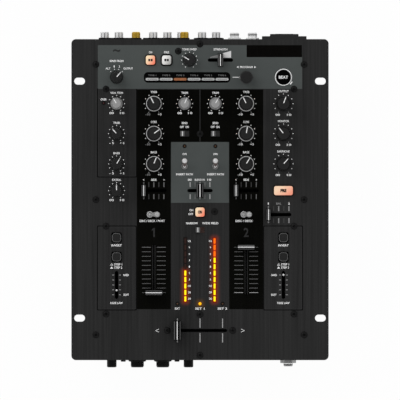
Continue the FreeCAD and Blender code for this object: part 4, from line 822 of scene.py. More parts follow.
def grow(name, build, centres, ink, body="mixer_body", turns=None, **values):
    mesh = bpy.data.meshes.new(name)
    mesh.from_pydata([tuple(centre) for centre in centres], [], [])
    if turns:
        mesh.attributes.new("turn", "FLOAT", "POINT").data.foreach_set("value", turns)
    piece = link(name, mesh)
    modifier = piece.modifiers.new("grow", "NODES")
    modifier.node_group = trees[build]
    values["Ink"] = finishes[ink]
    for item in trees[build].interface.items_tree:
        if item.in_out == "INPUT" and item.name in values:
            modifier[item.identifier] = values[item.name]
    grown = bpy.data.meshes.new_from_object(piece.evaluated_get(bpy.context.evaluated_depsgraph_get()))
    piece.modifiers.remove(modifier)
    piece.data = grown
    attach(piece, body)
    return piece


# Dots and end ticks round the knobs
inkTop = panelTop + inkRise / 2 + 0.01 * mm


def onPanel(names):
    return [(*columnOf(name), inkTop) for name in names]


smallNames = ("mic_gain", "mic_high", "mic_low", "aux_in", "ch1_gain", "ch2_gain", "fx_frequency")
smallKnobs, toneKnobs, levelKnobs = ([name + "_knob" for name in names]
                                     for names in (smallNames, ringedKnobs, levelNames))
dotSets = {  # knobs, radius in millimetres, first dot in steps of 30 degrees, count
    "smallKnobDots": (smallKnobs, 7.85, -5, 11),
    "toneKnobDotsLeft": (toneKnobs, 9.5, -4, 4),
    "toneKnobDotsRight": (toneKnobs, 9.5, 1, 4),
    "levelKnobDots": (levelKnobs, 9.5, -4, 9),
}
for name, (knobs, radius, first, count) in dotSets.items():
    grow(name, dotArc, onPanel(knobs), "inkWhite", Radius=radius * mm, First=first * step30, Count=count)
sourceDots = {"Radius": 8.0 * mm, "First": math.radians(-45), "Count": 4, "Dot": 0.42 * mm}
grow("sourceDots", dotArc, onPanel(["fx_assign_knob"]), "inkWhite", **sourceDots)
endTicks = {  # knobs, radius in millimetres, place on the dial and slant in degrees, ink
    "toneTickLeft": (toneKnobs, 9.9, -150, -30, "inkGrey"),
    "toneTickRight": (toneKnobs, 9.9, 150, 30, "inkGrey"),
    "toneTickTop": (toneKnobs, 10.2, 0, 0, "inkLine"),
    "levelTickLeft": (levelKnobs, 10.0, -150, 0, "inkGrey"),
    "levelTickRight": (levelKnobs, 10.0, 150, 0, "inkGrey"),
}
endTick = {"Wide": 0.55 * mm, "Tall": 1.7 * mm, "Corner": 0.05 * mm}
for name, (knobs, radius, turn, slant, ink) in endTicks.items():
    across, along = (radius * mm * way(math.radians(turn)) for way in (math.sin, math.cos))
    centres = [(x + across, y + along, z - inkRise / 2) for x, y, z in onPanel(knobs)]
    grow(name, segmentStack, centres, ink, turns=[math.radians(slant)] * len(centres), **endTick)

# Dark seats round the keys, the screw heads and the lamps, and a painted shadow round the program knob
screwHead = {"lift": 0.3 * mm, "reach": 6 * mm}


def screwPlaces():
    heads = []
    for polygon in nodes["fasteners"].data.polygons:
        spot = polygon.center.copy()
        if spot.z > panelTop + screwHead["lift"]:
            near = next((head for head in heads
                         if math.hypot(head[0].x - spot.x, head[0].y - spot.y) < screwHead["reach"]), None)
            if near:
                near.append(spot)
            else:
                heads.append([spot])
    middles = []
    for head in heads:
        across, along = [spot.x for spot in head], [spot.y for spot in head]
        middles.append(((min(across) + max(across)) / 2, (min(along) + max(along)) / 2, inkTop))
    return middles


keyFrames = {"fx_on_button": 2.0, "fx_cue_button": 2.7, "fx_center_button": 2.0, "cue_button": 2.0}  # over the cap
frameCorner = 3.0 * mm
for key, more in keyFrames.items():
    low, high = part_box(key)
    grow(key + "Frame", segmentStack, [(*columnOf(key), panelTop)], "inkBlack", Wide=high.x - low.x + more * mm,
         Tall=high.y - low.y + more * mm, Corner=frameCorner)
# a darker disc round the program knob's foot: painted shadow
selectSeat = 13.0 * mm
grow("selectSeat", segmentStack, [(*columnOf("fx_select_knob"), panelTop)], "inkDim", Wide=selectSeat,
     Tall=selectSeat, Corner=selectSeat / 2)
lampPlaces = [(x * mm, y * mm, inkTop) for finish in ("lampDark", "lampRed") for x, y in lampFinishes[finish]]
seats = {"screwSeats": (screwPlaces(), 3.4 * mm), "lampSeats": (lampPlaces, 2.1 * mm)}
for name, (places, radius) in seats.items():
    grow(name, dotArc, places, "inkBlack", Radius=0.0, Count=1, Dot=radius)
print("knob dots and seats grown")


# Pieces made from points and faces, in millimetres on the surface that carries them
def newPiece(name, points, faces, ink, body):
    mesh = bpy.data.meshes.new(name)
    mesh.from_pydata(points, [], faces)
    mesh.materials.append(finishes[ink])
    piece = link(name, mesh)
    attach(piece, body)
    return piece


lettering = {"cap": 2.1, "capShare": 0.73, "bold": 0.02, "keyBold": 0.07, "widthShare": 0.95, "rise": 0.04 * mm,
             "fineness": 3}  # cap height in millimetres


def printWords(name, rows, ink, body="mixer_body", base=panelTop, bold=lettering["bold"]):
    # rows: words, middle x and y, width, cap height
    points, faces = [], []
    for words, x, y, width, *cap in rows:
        curve = bpy.data.curves.new("word", "FONT")
        curve.body = words
        curve.size = (cap[0] if cap else lettering["cap"]) * mm / lettering["capShare"]
        curve.offset = bold * curve.size
        curve.extrude = lettering["rise"] / 2
        curve.resolution_u = lettering["fineness"]
        holder = bpy.data.objects.new("word", curve)
        flat = bpy.data.meshes.new_from_object(holder)
        across = [vertex.co.x for vertex in flat.vertices]
        upward = [vertex.co.y for vertex in flat.vertices]
        stretch = width * mm * lettering["widthShare"] / (max(across) - min(across))
        middleX, middleY = (max(across) + min(across)) / 2, (max(upward) + min(upward)) / 2
        first = len(points)
        for vertex in flat.vertices:
            points.append(((vertex.co.x - middleX) * stretch + x * mm, vertex.co.y - middleY + y * mm,
                           vertex.co.z + base + lettering["rise"] / 2))
        faces += [[first + index for index in polygon.vertices] for polygon in flat.polygons]
        bpy.data.objects.remove(holder)
    return newPiece(name, points, faces, ink, body)


def stampShapes(name, outlines, ink, body="mixer_body", base=panelTop):
    points, faces = [], []  # outlines run anticlockwise
    for outline in outlines:
        first, count = len(points), len(outline)
        points += [(x * mm, y * mm, base + lift) for lift in (0.0, lettering["rise"]) for x, y in outline]
        faces.append([first + index for index in reversed(range(count))])
        faces.append([first + count + index for index in range(count)])
        for index in range(count):
            after = (index + 1) % count
            faces.append([first + index, first + after, first + count + after, first + count + index])
    return newPiece(name, points, faces, ink, body)


def bar(x0, y0, x1, y1):
    return [(x0, y0), (x1, y0), (x1, y1), (x0, y1)]


# Words round the knobs: title and its width, the two end marks
knobWords = {
    "fx_frequency_knob": ("TONE SWEEP", 15.2, "", ""),
    "mic_gain_knob": ("VOX TRIM", 13.2, "00", "10"),
    "mic_high_knob": ("TREB", 6.9, "- 5", "+ 5"),
    "mic_low_knob": ("BASS", 6.6, "- 5", "+ 5"),
    "aux_in_knob": ("EXTRA", 9.2, "00", "10"),
    "ch1_gain_knob": ("TRIM", 7.0, "00", "10"),
    "ch2_gain_knob": ("TRIM", 7.0, "00", "10"),
    "ch1_high_knob": ("TREB", 6.6, "-10", "+5"),
    "ch1_mid_knob": ("CORE", 6.2, "-10", "+5"),
    "ch1_low_knob": ("BASS", 6.4, "-10", "+5"),
    "ch2_high_knob": ("TREB", 6.6, "-10", "+5"),
    "ch2_mid_knob": ("CORE", 6.2, "-10", "+5"),
    "ch2_low_knob": ("BASS", 6.4, "-10", "+5"),
    "master_knob": ("OUTPUT", 11.0, "00", "10"),
    "aux_out_knob": ("MONITOR", 11.6, "00", "10"),
    "cue_gain_knob": ("EARPHONE", 12.8, "00", "10"),
}
wordPlaces = {  # title above, end marks: left, right, below, width of the left one and of the right one
    "small": (10.6, -4.9, 5.5, -9.3, 4.6, 4.6),
    "tone": (11.5, -5.9, 5.8, -10.6, 5.0, 3.9),
    "level": (12.3, -5.6, 5.6, -11.0, 4.6, 4.6),
}
whiteRows, greyRows = [], []
for knob, (title, width, left, right) in knobWords.items():
    family = "tone" if knob in toneKnobs else "level" if knob in levelKnobs else "small"
    above, leftX, rightX, below, leftWidth, rightWidth = wordPlaces[family]
    x, y = spotOf(knob)
    whiteRows.append((title, x, y + above, width))
    if left:
        dimLeft = family == "tone" and knob.startswith("ch1")
        (greyRows if dimLeft else whiteRows).append((left, x + leftX, y + below, leftWidth))
        whiteRows.append((right, x + rightX, y + below, rightWidth))

# Words at the other controls: words, x and y from the control, width
controlWords = {
    "fx_assign_knob": (("SEND FROM", 0.0, 16.0, 14.4), ("ALT", -8.4, 8.6, 5.0), ("1", -2.3, 10.6, 1.0),
                       ("2", 2.8, 10.6, 1.4), ("OUTPUT", 11.4, 8.6, 9.8)),
    "fx_on_button": (("ON", 0.0, 7.7, 3.4),),
    "fx_cue_button": (("PRE", 0.0, 7.7, 5.1),),
    "fx_intensity_slider": (("STRENGTH", 0.0, 10.6, 14.2),),
    "fx_select_knob": (("PROGRAM", 0.0, 10.0, 13.2),),
}
for control, rows in controlWords.items():
    x, y = spotOf(control)
    whiteRows += [(words, x + dx, y + dy, width) for words, dx, dy, width in rows]
whiteRows.append(("OVER", -95.2, 99.0, 6.3))
sideColumns = {"loop": 15.2, "pan": 45.6, "shape": 82.4}
for side in (-1, 1):
    x = side * sideColumns["loop"]
    whiteRows += [("SEND", x, 75.6, 6.0), ("OFF", x - 2.7, 71.8, 3.9), ("ON", x + 2.4, 71.8, 3.5)]
for side in (-1, 1):
    x = side * sideColumns["shape"]
    whiteRows += [("OWN", side * sideColumns["loop"], 45.0, 4.4), ("INSERT PATH", side * 15.3, 25.0, 17.4),
                  ("SIDE", side * sideColumns["pan"], 19.6, 5.8), ("INVERT", x, -45.2, 10.8),
                  ("STEP 1", x + 1.6, -64.0, 8.2), ("STEP 2", x + 1.6, -67.1, 8.2),
                  ("HARD", side * 73.1, -74.5, 5.7), ("SOFT", side * 72.9, -94.0, 5.6),
                  ("FADE LAW", x, -102.1, 12.8)]
whiteRows += [("00", -10.1, 19.6, 4.0), ("BLEND IN", -0.3, 19.6, 10.2), ("10", 9.2, 19.6, 4.0),
              ("DISC / DECK / PORT", -47.2, -21.0, 26.2), ("DISC / DECK", 43.7, -21.0, 18.0),
              ("ON", -8.6, -10.4, 3.9), ("OFF", -9.1, -14.2, 5.0), ("NARROW", -7.9, -23.3, 12.2),
              ("WIDE FIELD", 10.1, -23.3, 17.0), ("EXT", -22.3, -107.6, 5.1), ("SET 1", -0.1, -107.6, 9.6),
              ("SET 2", 22.1, -107.6, 10.0), ("1", 67.5, -3.9, 1.0), ("2", 87.9, -3.9, 1.6)]
greyRows.append(("BAL", 77.8, -3.9, 5.2))
meterNumbers = {"words": ("12", "9", "6", "3", "1", "0", "3", "10", "20", "30"), "columns": (-10.5, 10.3),
                "top": -40.9, "pitch": 6.33, "cap": 1.9, "widths": (1.1, 2.8)}
for column in meterNumbers["columns"]:
    for index, number in enumerate(meterNumbers["words"]):
        whiteRows.append((number, column, meterNumbers["top"] - meterNumbers["pitch"] * index,
                          meterNumbers["widths"][len(number) - 1], meterNumbers["cap"]))
printWords("panelWords", whiteRows, "inkWhite")
printWords("panelWordsGrey", greyRows, "inkGrey")
printWords("channelTwo", [("2", 45.6, -32.4, 5.2, 9.0)], "inkNumber")
printWords("waveSign", [("~", -82.3, 147.2, 7.6, 10.0)], "inkDark")
print("words printed:", len(whiteRows) + len(greyRows))

# Arrows, wedges and short lines
selectX, selectY = spotOf("fx_select_knob")
selectArrow = {"tip": 9.6, "back": 7.8, "up": 10.0, "half": 1.1}
stepArrow = {"left": 4.8, "outlined": -64.0, "solid": -67.1}
arrows = []
for side in (-1, 1):
    tip, back = selectX + side * selectArrow["tip"], selectX + side * selectArrow["back"]
    y, half = selectY + selectArrow["up"], selectArrow["half"]
    arrow = [(back, y - half), (tip, y), (back, y + half)]
    arrows.append(arrow if side > 0 else arrow[::-1])
    x = side * sideColumns["shape"] - stepArrow["left"]
    y = stepArrow["outlined"]
    arrows += [[(x - 1.5, y - 1.0), (x + 1.5, y - 1.0), (x + 0.9, y - 0.6), (x - 0.9, y - 0.6)],
               [(x + 1.5, y - 1.0), (x, y + 1.1), (x, y + 0.5), (x + 0.9, y - 0.6)],
               [(x, y + 1.1), (x - 1.5, y - 1.0), (x - 0.9, y - 0.6), (x, y + 0.5)]]
    y = stepArrow["solid"]
    arrows.append([(x - 1.5, y - 1.0), (x + 1.5, y - 1.0), (x, y + 1.1)])
arrows += [bar(selectX - 13.6, selectY - 0.3, selectX - 7.5, selectY + 0.3),
           bar(selectX - 6.6, selectY - 1.1, selectX - 6.1, selectY + 1.1)]


def chevron(x, y, wide, tall, stroke, side):  # the two strokes of an angle that points left or right
    tip, back = x + side * wide / 2, x - side * wide / 2
    inner, foot = (tip - side * 2 * stroke, y), back - side * stroke * 0.4
    upper = [(tip, y), (back, y + tall / 2), (foot, y + tall / 2 - stroke), inner]
    lower = [(tip, y), inner, (foot, y - tall / 2 + stroke), (back, y - tall / 2)]
    return [upper, lower] if side > 0 else [upper[::-1], lower[::-1]]


for side in (-1, 1):
    arrows += chevron(side * 42.45, -129.3, 3.7, 3.4, 0.38, side)
    for pan in (-sideColumns["pan"], sideColumns["pan"]):
        arrows += chevron(pan + side * 10.2, 19.6, 1.2, 1.8, 0.34, side)
stampShapes("panelSigns", arrows, "inkWhite")
intensityX, intensityY = spotOf("fx_intensity_slider")
wedge = {"inkGrey": (-10.4, -3.0), "inkPale": (-3.0, 10.5)}  # dim at its thin end
wedgeShape = {"foot": 2.4, "thin": 3.0, "growth": 6.2, "start": -10.4, "length": 20.9}
for ink, (left, right) in wedge.items():
    foot = intensityY + wedgeShape["foot"]
    tops = [intensityY + wedgeShape["thin"] + wedgeShape["growth"] * (end - wedgeShape["start"]) / wedgeShape["length"]
            for end in (left, right)]
    stampShapes("strengthWedge" + ink[3:], [[(intensityX + left, foot), (intensityX + right, foot),
                                             (intensityX + right, tops[1]), (intensityX + left, tops[0])]], ink)
numeralFoot = (-45.4, -36.9)
numeral = ((-0.75, 0.0), (0.75, 0.0), (0.75, 9.0), (-0.4, 9.0), (-2.2, 7.5), (-2.2, 6.0), (-0.75, 7.0))
stampShapes("channelOne", [[(numeralFoot[0] + x, numeralFoot[1] + y) for x, y in numeral]], "inkNumber")
stampShapes("programMark", [bar(selectX + 5.6, selectY - 0.35, selectX + 7.4, selectY + 0.35)], "inkDim")
# a short white arc outside the tap ring at its lower right: a painted highlight
tapHighlightArc = {"inner": 9.0, "outer": 10.1, "from": -27, "to": -47, "steps": 8}


def arcOutline(x, y, look):
    turns = [math.radians(look["from"] + (look["to"] - look["from"]) * index / look["steps"])
             for index in range(look["steps"] + 1)]
    inner, outer = ([(x + look[edge] * math.cos(turn), y + look[edge] * math.sin(turn)) for turn in turns]
                    for edge in ("inner", "outer"))
    return inner + outer[::-1]


stampShapes("beatArc", [arcOutline(*spotOf("tap_button"), tapHighlightArc)], "inkWhite")

# Marks on the keys ride with them
keyMark = {"in": 0.3, "out": 2.1, "half": 1.15}
for key in ("fx_on_button", "fx_cue_button"):
    x, y = spotOf(key)
    low, high = y - keyMark["half"], y + keyMark["half"]
    stampShapes(key + "Mark", [bar(x - keyMark["out"], low, x - keyMark["in"], high),
                               bar(x + keyMark["in"], low, x + keyMark["out"], high)], "inkBlack", key,
                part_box(key)[1].z)
keyWords = {  # word, width, ink, weight
    "fx_center_button": ("ON", 4.2, "inkBlack", "keyBold"), "cue_button": ("PRE", 6.2, "inkBlack", "keyBold"),
    "tap_button": ("BEAT", 9.6, "inkWhite", "bold"),
}
keyCap = 2.9  # cap height
for key, (word, width, ink, weight) in keyWords.items():
    printWords(key + "Word", [(word, *spotOf(key), width, keyCap)], ink, key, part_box(key)[1].z, lettering[weight])
print("signs stamped")


# Scales beside the sliders
def slotMiddle(slider):  # the middle of a slider's travel, from its joint
    joint = joints[slider]
    return middleOf(slider) + Vector(joint["axis"]) * sum(joint["range_m"]) / 2


scales = {  # slider: pitch, gap, length, width in millimetres, ink of the main ticks, ink of the others
    "ch1_pan_slider": (4.97, 3.5, 4.9, 1.0, "inkLine", "inkDim"),
    "ch2_pan_slider": (4.97, 3.5, 4.9, 0.8, "inkLine", "inkDim"),
    "fx_loop_slider": (4.88, 3.5, 4.9, 1.0, "inkSoft", "inkMark"),
    "cue_mix_slider": (5.06, 3.5, 4.9, 1.2, "inkGrey", "inkDim"),
    "ch1_contour_slider": (4.87, 2.4, 1.9, 0.8, "inkGrey", "inkGrey"),
    "ch2_contour_slider": (4.87, 2.4, 1.9, 0.8, "inkGrey", "inkGrey"),
    "crossfader": (11.15, 2.7, 9.1, 0.85, "inkSoft", ""),
}
quarterTurn = math.pi / 2
for slider, (pitch, gap, length, width, mainInk, otherInk) in scales.items():
    middle = slotMiddle(slider)
    turn = quarterTurn if "contour" in slider else 0.0
    for name, count, ink in (("Ticks", 3, mainInk), ("SmallTicks", 2, otherInk)):
        if ink:
            grow(slider + name, tickRow, [(middle.x, middle.y, inkTop)], ink, turns=[turn], Count=count,
                 Pitch=2 * pitch * mm, Gap=gap * mm, Long=length * mm, Wide=width * mm)
faderScale = {"pitch": 4.48 * mm, "count": 11, "gap": 3.0 * mm, "length": 8.7 * mm, "width": 0.45 * mm,
              "bright": 0.55 * mm}
for fader, brightEnd, brightInk in (("ch1_fader", 1, "inkMark"), ("ch2_fader", -1, "inkSoft")):
    middle = slotMiddle(fader)
    pitch, plain = faderScale["pitch"], faderScale["count"] - 1
    for name, shift, count, width, ink in (
            ("Lines", -pitch / 2 * brightEnd, plain, faderScale["width"], "inkLine"),
            ("EndLine", pitch * plain / 2 * brightEnd, 1, faderScale["bright"], brightInk)):
        grow(fader + name, tickRow, [(middle.x, middle.y + shift, inkTop)], ink, turns=[quarterTurn], Count=count,
             Pitch=pitch, Gap=faderScale["gap"], Long=faderScale["length"], Wide=width)

# Felt lips inside the fader slots, clear of the levers
feltLips = {"inside": 0.75 * mm, "outside": 1.6 * mm, "length": 49 * mm, "drop": 1.2 * mm, "thick": 0.3 * mm}
for fader in ("ch1_fader", "ch2_fader"):
    middle = slotMiddle(fader)
    offset = (feltLips["inside"] + feltLips["outside"]) / 2
    grow(fader + "Felt", segmentStack, [(middle.x - offset, middle.y, panelTop - feltLips["drop"])], "slotFelt",
         Count=2, PitchX=2 * offset, Wide=feltLips["outside"] - feltLips["inside"], Tall=feltLips["length"],
         Rise=feltLips["thick"])
print("scales and felt grown")

# Level meters: lit bars over their glow, dark bars above
meterLook = {"pitch": 6.35, "low": -69.4 - 4.5 * 6.35, "wide": 1.85, "tall": 5.0, "rise": 0.14, "corner": 0.5,
             "bedWide": 2.6, "bedCorner": 0.8}  # in millimetres
lensTop = panelTop - 0.2 * mm
meters = {  # column in millimetres, then runs of bars from the lowest: first, count, finish
    "left": (-14.5, ((0, 5, "segmentYellow"), (5, 5, "segmentDark"))),
    "right": (14.4, ((0, 7, "segmentYellow"), (7, 3, "segmentOrange"))),
}
for side, (x, runs) in meters.items():
    y, pitch = meterLook["low"], meterLook["pitch"]
    lit = sum(count for first, count, finish in runs if finish != "segmentDark")
    foot, top = y - pitch / 2, y + pitch * (lit - 0.5)
    grow(side + "MeterBed", segmentStack, [(x * mm, (foot + top) / 2 * mm, lensTop)], "segmentBed",
         Wide=meterLook["bedWide"] * mm, Tall=(top - foot) * mm, Corner=meterLook["bedCorner"] * mm)
    for first, count, finish in runs:
        grow(side + "Meter" + finish[7:], segmentStack, [(x * mm, y * mm, lensTop)], finish, First=first,
             Count=count, PitchY=pitch * mm, Wide=meterLook["wide"] * mm, Tall=meterLook["tall"] * mm,
             Rise=meterLook["rise"] * mm, Corner=meterLook["corner"] * mm)

# Program display: six bars and their dim marks
displayLook = {"x": -12.7, "y": 118.9, "count": 6, "pitch": 13.8, "wide": 12.9, "tall": 2.5, "rise": 0.12,
               "corner": 1.2, "lit": 2, "markUp": 3.8, "markWide": 8.4, "markCap": 1.5}  # in millimetres
displayRuns = {"displayLeft": (0, 2, "segmentPale"), "displayLit": (2, 1, "segmentLit"),
               "displayRight": (3, 3, "segmentPale")}  # first, count, finish
firstBar = displayLook["x"] - (displayLook["count"] - 1) / 2 * displayLook["pitch"]
barColumns = [firstBar + displayLook["pitch"] * index for index in range(displayLook["count"])]
for name, (first, count, finish) in displayRuns.items():
    grow(name, segmentStack, [(firstBar * mm, displayLook["y"] * mm, lensTop)], finish, First=first, Count=count,
         PitchX=displayLook["pitch"] * mm, Wide=displayLook["wide"] * mm, Tall=displayLook["tall"] * mm,
         Rise=displayLook["rise"] * mm, Corner=displayLook["corner"] * mm)
dashes = {"Count": 5, "PitchX": 1.9 * mm, "Wide": 1.2 * mm, "Tall": 0.8 * mm, "Corner": 0.2 * mm}
dashTop = lensTop + 0.11 * mm
dashPlaces = [(x * mm - 2 * dashes["PitchX"], displayLook["y"] * mm, dashTop)
              for index, x in enumerate(barColumns) if index != displayLook["lit"]]
grow("displayDashes", segmentStack, dashPlaces, "inkMark", **dashes)
barWords = [("TYPE %d" % (index + 1), x, displayLook["y"] + displayLook["markUp"], displayLook["markWide"],
             displayLook["markCap"]) for index, x in enumerate(barColumns)]
printWords("displayWords", barWords, "inkMark", base=lensTop)
print("meters and display lit")

# White lines in the grooves of the slide caps, beads of painted highlight along their edges, stripes on the switch
# nubs
capLook = {"line": 0.8 * mm, "inset": 0.72 * mm, "rise": 0.28 * mm, "proud": 0.02 * mm, "ridgeInset": 0.05 * mm,
           "ridgeRise": 0.55 * mm, "ridgeDrop": 0.38 * mm, "ridgeOut": 0.3 * mm, "draft": 0.7 * mm}
for slider, beads in sliders.items():
    low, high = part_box(slider)
    x, y = columnOf(slider)
    along, across = laid(slider, high.x - low.x, high.y - low.y)
    length = across - 2 * capLook["inset"]
    wide, tall = laid(slider, capLook["line"], length)
    grow(slider + "Line", segmentStack, [(x, y, high.z - capLook["rise"] + capLook["proud"])], "pointerWhite",
         slider, Wide=wide, Tall=tall, Rise=capLook["rise"])
    for index, bead in enumerate(beads):
        wide, tall = laid(slider, bead * mm, length - 2 * capLook["ridgeInset"])
        offset = along / 2 - capLook["draft"] + capLook["ridgeOut"] - bead * mm / 2
        dx, dy = laid(slider, offset if index else -offset, 0.0)
        grow("%sRidge%d" % (slider, index + 1), segmentStack, [(x + dx, y + dy, high.z - capLook["ridgeDrop"])],
             "capRidge", slider, Wide=wide, Tall=tall, Rise=capLook["ridgeRise"])
nubStripe = {"Wide": 0.9 * mm, "Tall": 4.6 * mm, "Rise": 0.2 * mm, "Corner": 0.2 * mm}
stripeDrop = 0.05 * mm
for nub in switchNubs:
    grow(nub + "Stripe", segmentStack, [(*columnOf(nub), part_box(nub)[1].z - stripeDrop)], "nubRidge", nub,
         **nubStripe)
print("cap lines and ridges laid")

# Collars round the sockets
endFace = 157.0 * mm
collars = {"Count": 3, "Pitch": 0.4 * mm, "Radius": 5.1 * mm, "Crest": 0.9 * mm}
collarOut = 1.6 * mm
grow("phonoCollars", threadCrests, [(x, endFace + collarOut, z) for x, y, z in phonoSpots.values()], "socketBlack",
     **collars)

# Moulded blocks that carry the sockets and the ground posts, rims round the mains inlet
windowShape = {"corner": 2.5, "steps": 5}  # radius in millimetres, steps per corner


def windowRing(window, inset, out):  # a rounded window, inset, at a height over the rear plate
    left, low, right, high = window
    corner, steps = windowShape["corner"], windowShape["steps"]
    points = []
    for quarter, (x, z) in enumerate(((right - corner, high - corner), (left + corner, high - corner),
                                      (left + corner, low + corner), (right - corner, low + corner))):
        for step in range(steps + 1):
            angle = math.pi / 2 * (quarter + step / steps)
            points.append(((x + (corner - inset) * math.cos(angle)) * mm, endFace + out * mm,
                           (z + (corner - inset) * math.sin(angle)) * mm))
    return points


def moulding(name, window, section, ink, capped):  # section: inset and height in millimetres, from the foot up
    rings = [windowRing(window, inset, out) for inset, out in section]
    count, levels = len(rings[0]), len(rings)
    faces = []
    if capped:
        faces = [list(range(count)), [(levels - 1) * count + index for index in reversed(range(count))]]
    for level in range(levels - 1 if capped else levels):
        above = (level + 1) % levels
        for index in range(count):
            after = (index + 1) % count
            faces.append([level * count + index, above * count + index, above * count + after, level * count + after])
    newPiece(name, sum(rings, []), faces, ink, "mixer_body")


socketBlocks = {  # left, low, right, high in millimetres
    "left": (-99.9, 26.0, -57.8, 72.0), "middle": (-56.5, 26.0, -10.3, 72.0), "right": (-6.2, 26.0, 23.5, 58.0),
}
blockSection = ((0.0, -0.2), (0.0, 2.6), (0.4, 3.0))
for name, window in socketBlocks.items():
    moulding(name + "SocketBlock", window, blockSection, "socketBlack", True)
inletRims = {  # window, height of the face that it stands on, rise
    "inletRim": ((69.4, 21.05, 97.4, 66.95), 6.1, 0.7),
    "inletFlangeRim": ((61.45, 21.05, 105.35, 66.95), 4.2, 0.45),
}
for rim, (window, foot, rise) in inletRims.items():
    section = ((0.0, foot - 0.2), (0.0, foot + rise - 0.2), (0.2, foot + rise), (1.3, foot + rise), (1.5, foot - 0.2))
    moulding(rim, window, section, "inletGrey", False)

# Threads on the jacks, knurls on the ground posts, and dark ribs on the sleeves that paint the dark streaks of their
# reflection
threads = {"line_jack_a": 5.5, "line_jack_b": 5.5, "headphone_jack": 5.0}  # first crest from the plate in millimetres
threadPitch = 0.62 * mm
jackThread = {"Count": 3, "Radius": 4.5 * mm, "Crest": 0.2 * mm}
for jack, first in threads.items():
    x, y, z = mounts[jack]
    side = math.copysign(1.0, y)
    grow(jack + "Thread", threadCrests, [(x, side * (endFace + first * mm), z)], "threadSteel",
         Pitch=side * threadPitch, **jackThread)
ribSets = {
    "groundKnurls": {"Count": 30, "Wide": 0.45 * mm, "Deep": 0.4 * mm, "Long": 5.0 * mm, "Radius": 4.0 * mm},
    # the ribs on the sleeves are dark stripes of painted reflection
    "sleeveSeams": {"Count": 7, "Wide": 0.7 * mm, "Deep": 0.3 * mm, "Long": 5.2 * mm, "Radius": 4.08 * mm},
    "frontGrip": {"Count": 32, "Wide": 0.55 * mm, "Deep": 0.5 * mm, "Long": 4.4 * mm, "Radius": 6.2 * mm},
}
ribsOut = {"rear": endFace + 5.2 * mm, "front": -endFace - 5.1 * mm}
posts = [(x * mm, ribsOut["rear"], groundPosts["height"] * mm) for x in groundPosts["columns"]]
grow("groundKnurls", ribRing, posts, "gold", **ribSets["groundKnurls"])
sleeves = [(x, ribsOut["rear"], z) for x, y, z in phonoSpots.values()]
grow("sleeveSeams", ribRing, sleeves, "threadSteel", **ribSets["sleeveSeams"])


def turnedRing(name, profile, centre, ink, body="mixer_body", upright=False, steps=48):
    points, faces = [], []  # profile: radius and height in millimetres
    count = len(profile)
    for index in range(steps):
        turn = 2 * math.pi * index / steps
        for radius, height in profile:
            across, aside = radius * mm * math.cos(turn), radius * mm * math.sin(turn)
            reach = (across, aside, height * mm) if upright else (across, height * mm, -aside)
            points.append([start + step for start, step in zip(centre, reach)])
        for edge in range(count):
            after, ahead = (edge + 1) % count, (index + 1) % steps
            faces.append((index * count + edge, ahead * count + edge, ahead * count + after, index * count + after))
    piece = newPiece(name, points, faces, ink, body)
    shape = bmesh.new()
    shape.from_mesh(piece.data)
    bmesh.ops.recalc_face_normals(shape, faces=shape.faces)
    shape.to_mesh(piece.data)
    shape.free()


# Noses of the jacks, sleeves and grips of the front controls, and dark rings of painted shade on the knobs
def noseProfile(foot, tip):
    inward = math.copysign(1.0, -tip)
    return ((3.25, foot), (4.3, foot), (4.3, tip + 0.25 * inward), (4.1, tip), (3.45, tip),
            (3.25, tip + 0.2 * inward))


jackNose, phoneNose = noseProfile(6.9, 8.15), noseProfile(-6.4, -7.85)
phoneBevel = ((4.2, -4.6), (5.1, -4.6), (5.1, -5.0), (4.7, -5.5), (4.2, -5.5))
for jack in ("line_jack_a", "line_jack_b"):
    x, y, z = mounts[jack]
    turnedRing(jack + "Nose", jackNose, (x, endFace, z), "nickel")
x, y, z = mounts["headphone_jack"]
turnedRing("headphoneNose", phoneNose, (x, -endFace, z), "nutSteel")
turnedRing("headphoneBevel", phoneBevel, (x, -endFace, z), "nickel")
sleeveGap = 0.3  # between a pressed key's sleeve and the plate
for key in ("front_button_left", "front_button_right"):
    start = -(max(abs(end) for end in joints[key]["range_m"]) / mm + sleeveGap)
    sleeve = ((3.3, start), (4.75, start), (4.75, -8.0), (4.4, -8.6), (3.3, -8.6))
    turnedRing(key + "Sleeve", sleeve, (middleOf(key).x, -endFace, middleOf(key).z), "frontBlack", key)
for dial in ("front_knob_left", "front_knob_right"):
    grow(dial + "Grip", ribRing, [(middleOf(dial).x, ribsOut["front"], middleOf(dial).z)], "frontBlack", dial,
         **ribSets["frontGrip"])
screwCap = ((0.9, -1.9), (2.5, -1.9), (2.5, -2.75), (2.0, -3.3), (0.9, -3.3))
frontScrews = {"columns": (-75.9, -22.8), "height": 60.0}
for index, x in enumerate(frontScrews["columns"]):
    centre = (x * mm, -endFace, frontScrews["height"] * mm)
    turnedRing("frontScrewCap%d" % (index + 1), screwCap, centre, "screwBlack")
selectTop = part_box("fx_select_knob")[1].z
selectRing = ((3.3, -0.2), (3.75, -0.2), (3.75, -0.02), (3.3, -0.02))
turnedRing("selectRing", selectRing, (*columnOf("fx_select_knob"), selectTop), "knobFlank", "fx_select_knob", True)
knobShadeRing = ((5.9, 2.2), (7.04, 2.2), (7.04, 2.6), (6.9, 2.75), (5.9, 2.75))
for knob in toneKnobs:
    turnedRing(knob + "Rim", knobShadeRing, (*columnOf(knob), panelTop), "knobFlank", knob, True)
print("connectors trimmed")

# Camera straight above the panel, a long lens
view = {"frameWidth": 395.0 * mm, "centre": (0.0, -0.36 * mm), "lens": 1500.0, "sensor": 36.0, "reach": 200.0}
camera = bpy.data.cameras.new("camera")
camera.lens = view["lens"]
camera.sensor_width = view["sensor"]
camera.clip_end = view["reach"]
stand = link("camera", camera)
stand.location = (*view["centre"], panelTop + view["frameWidth"] * view["lens"] / view["sensor"])
bpy.context.scene.camera = stand

# Floor, world and lamps
floorLook = {"size": 6.0, "matte": grey(236), "glow": 0.965}


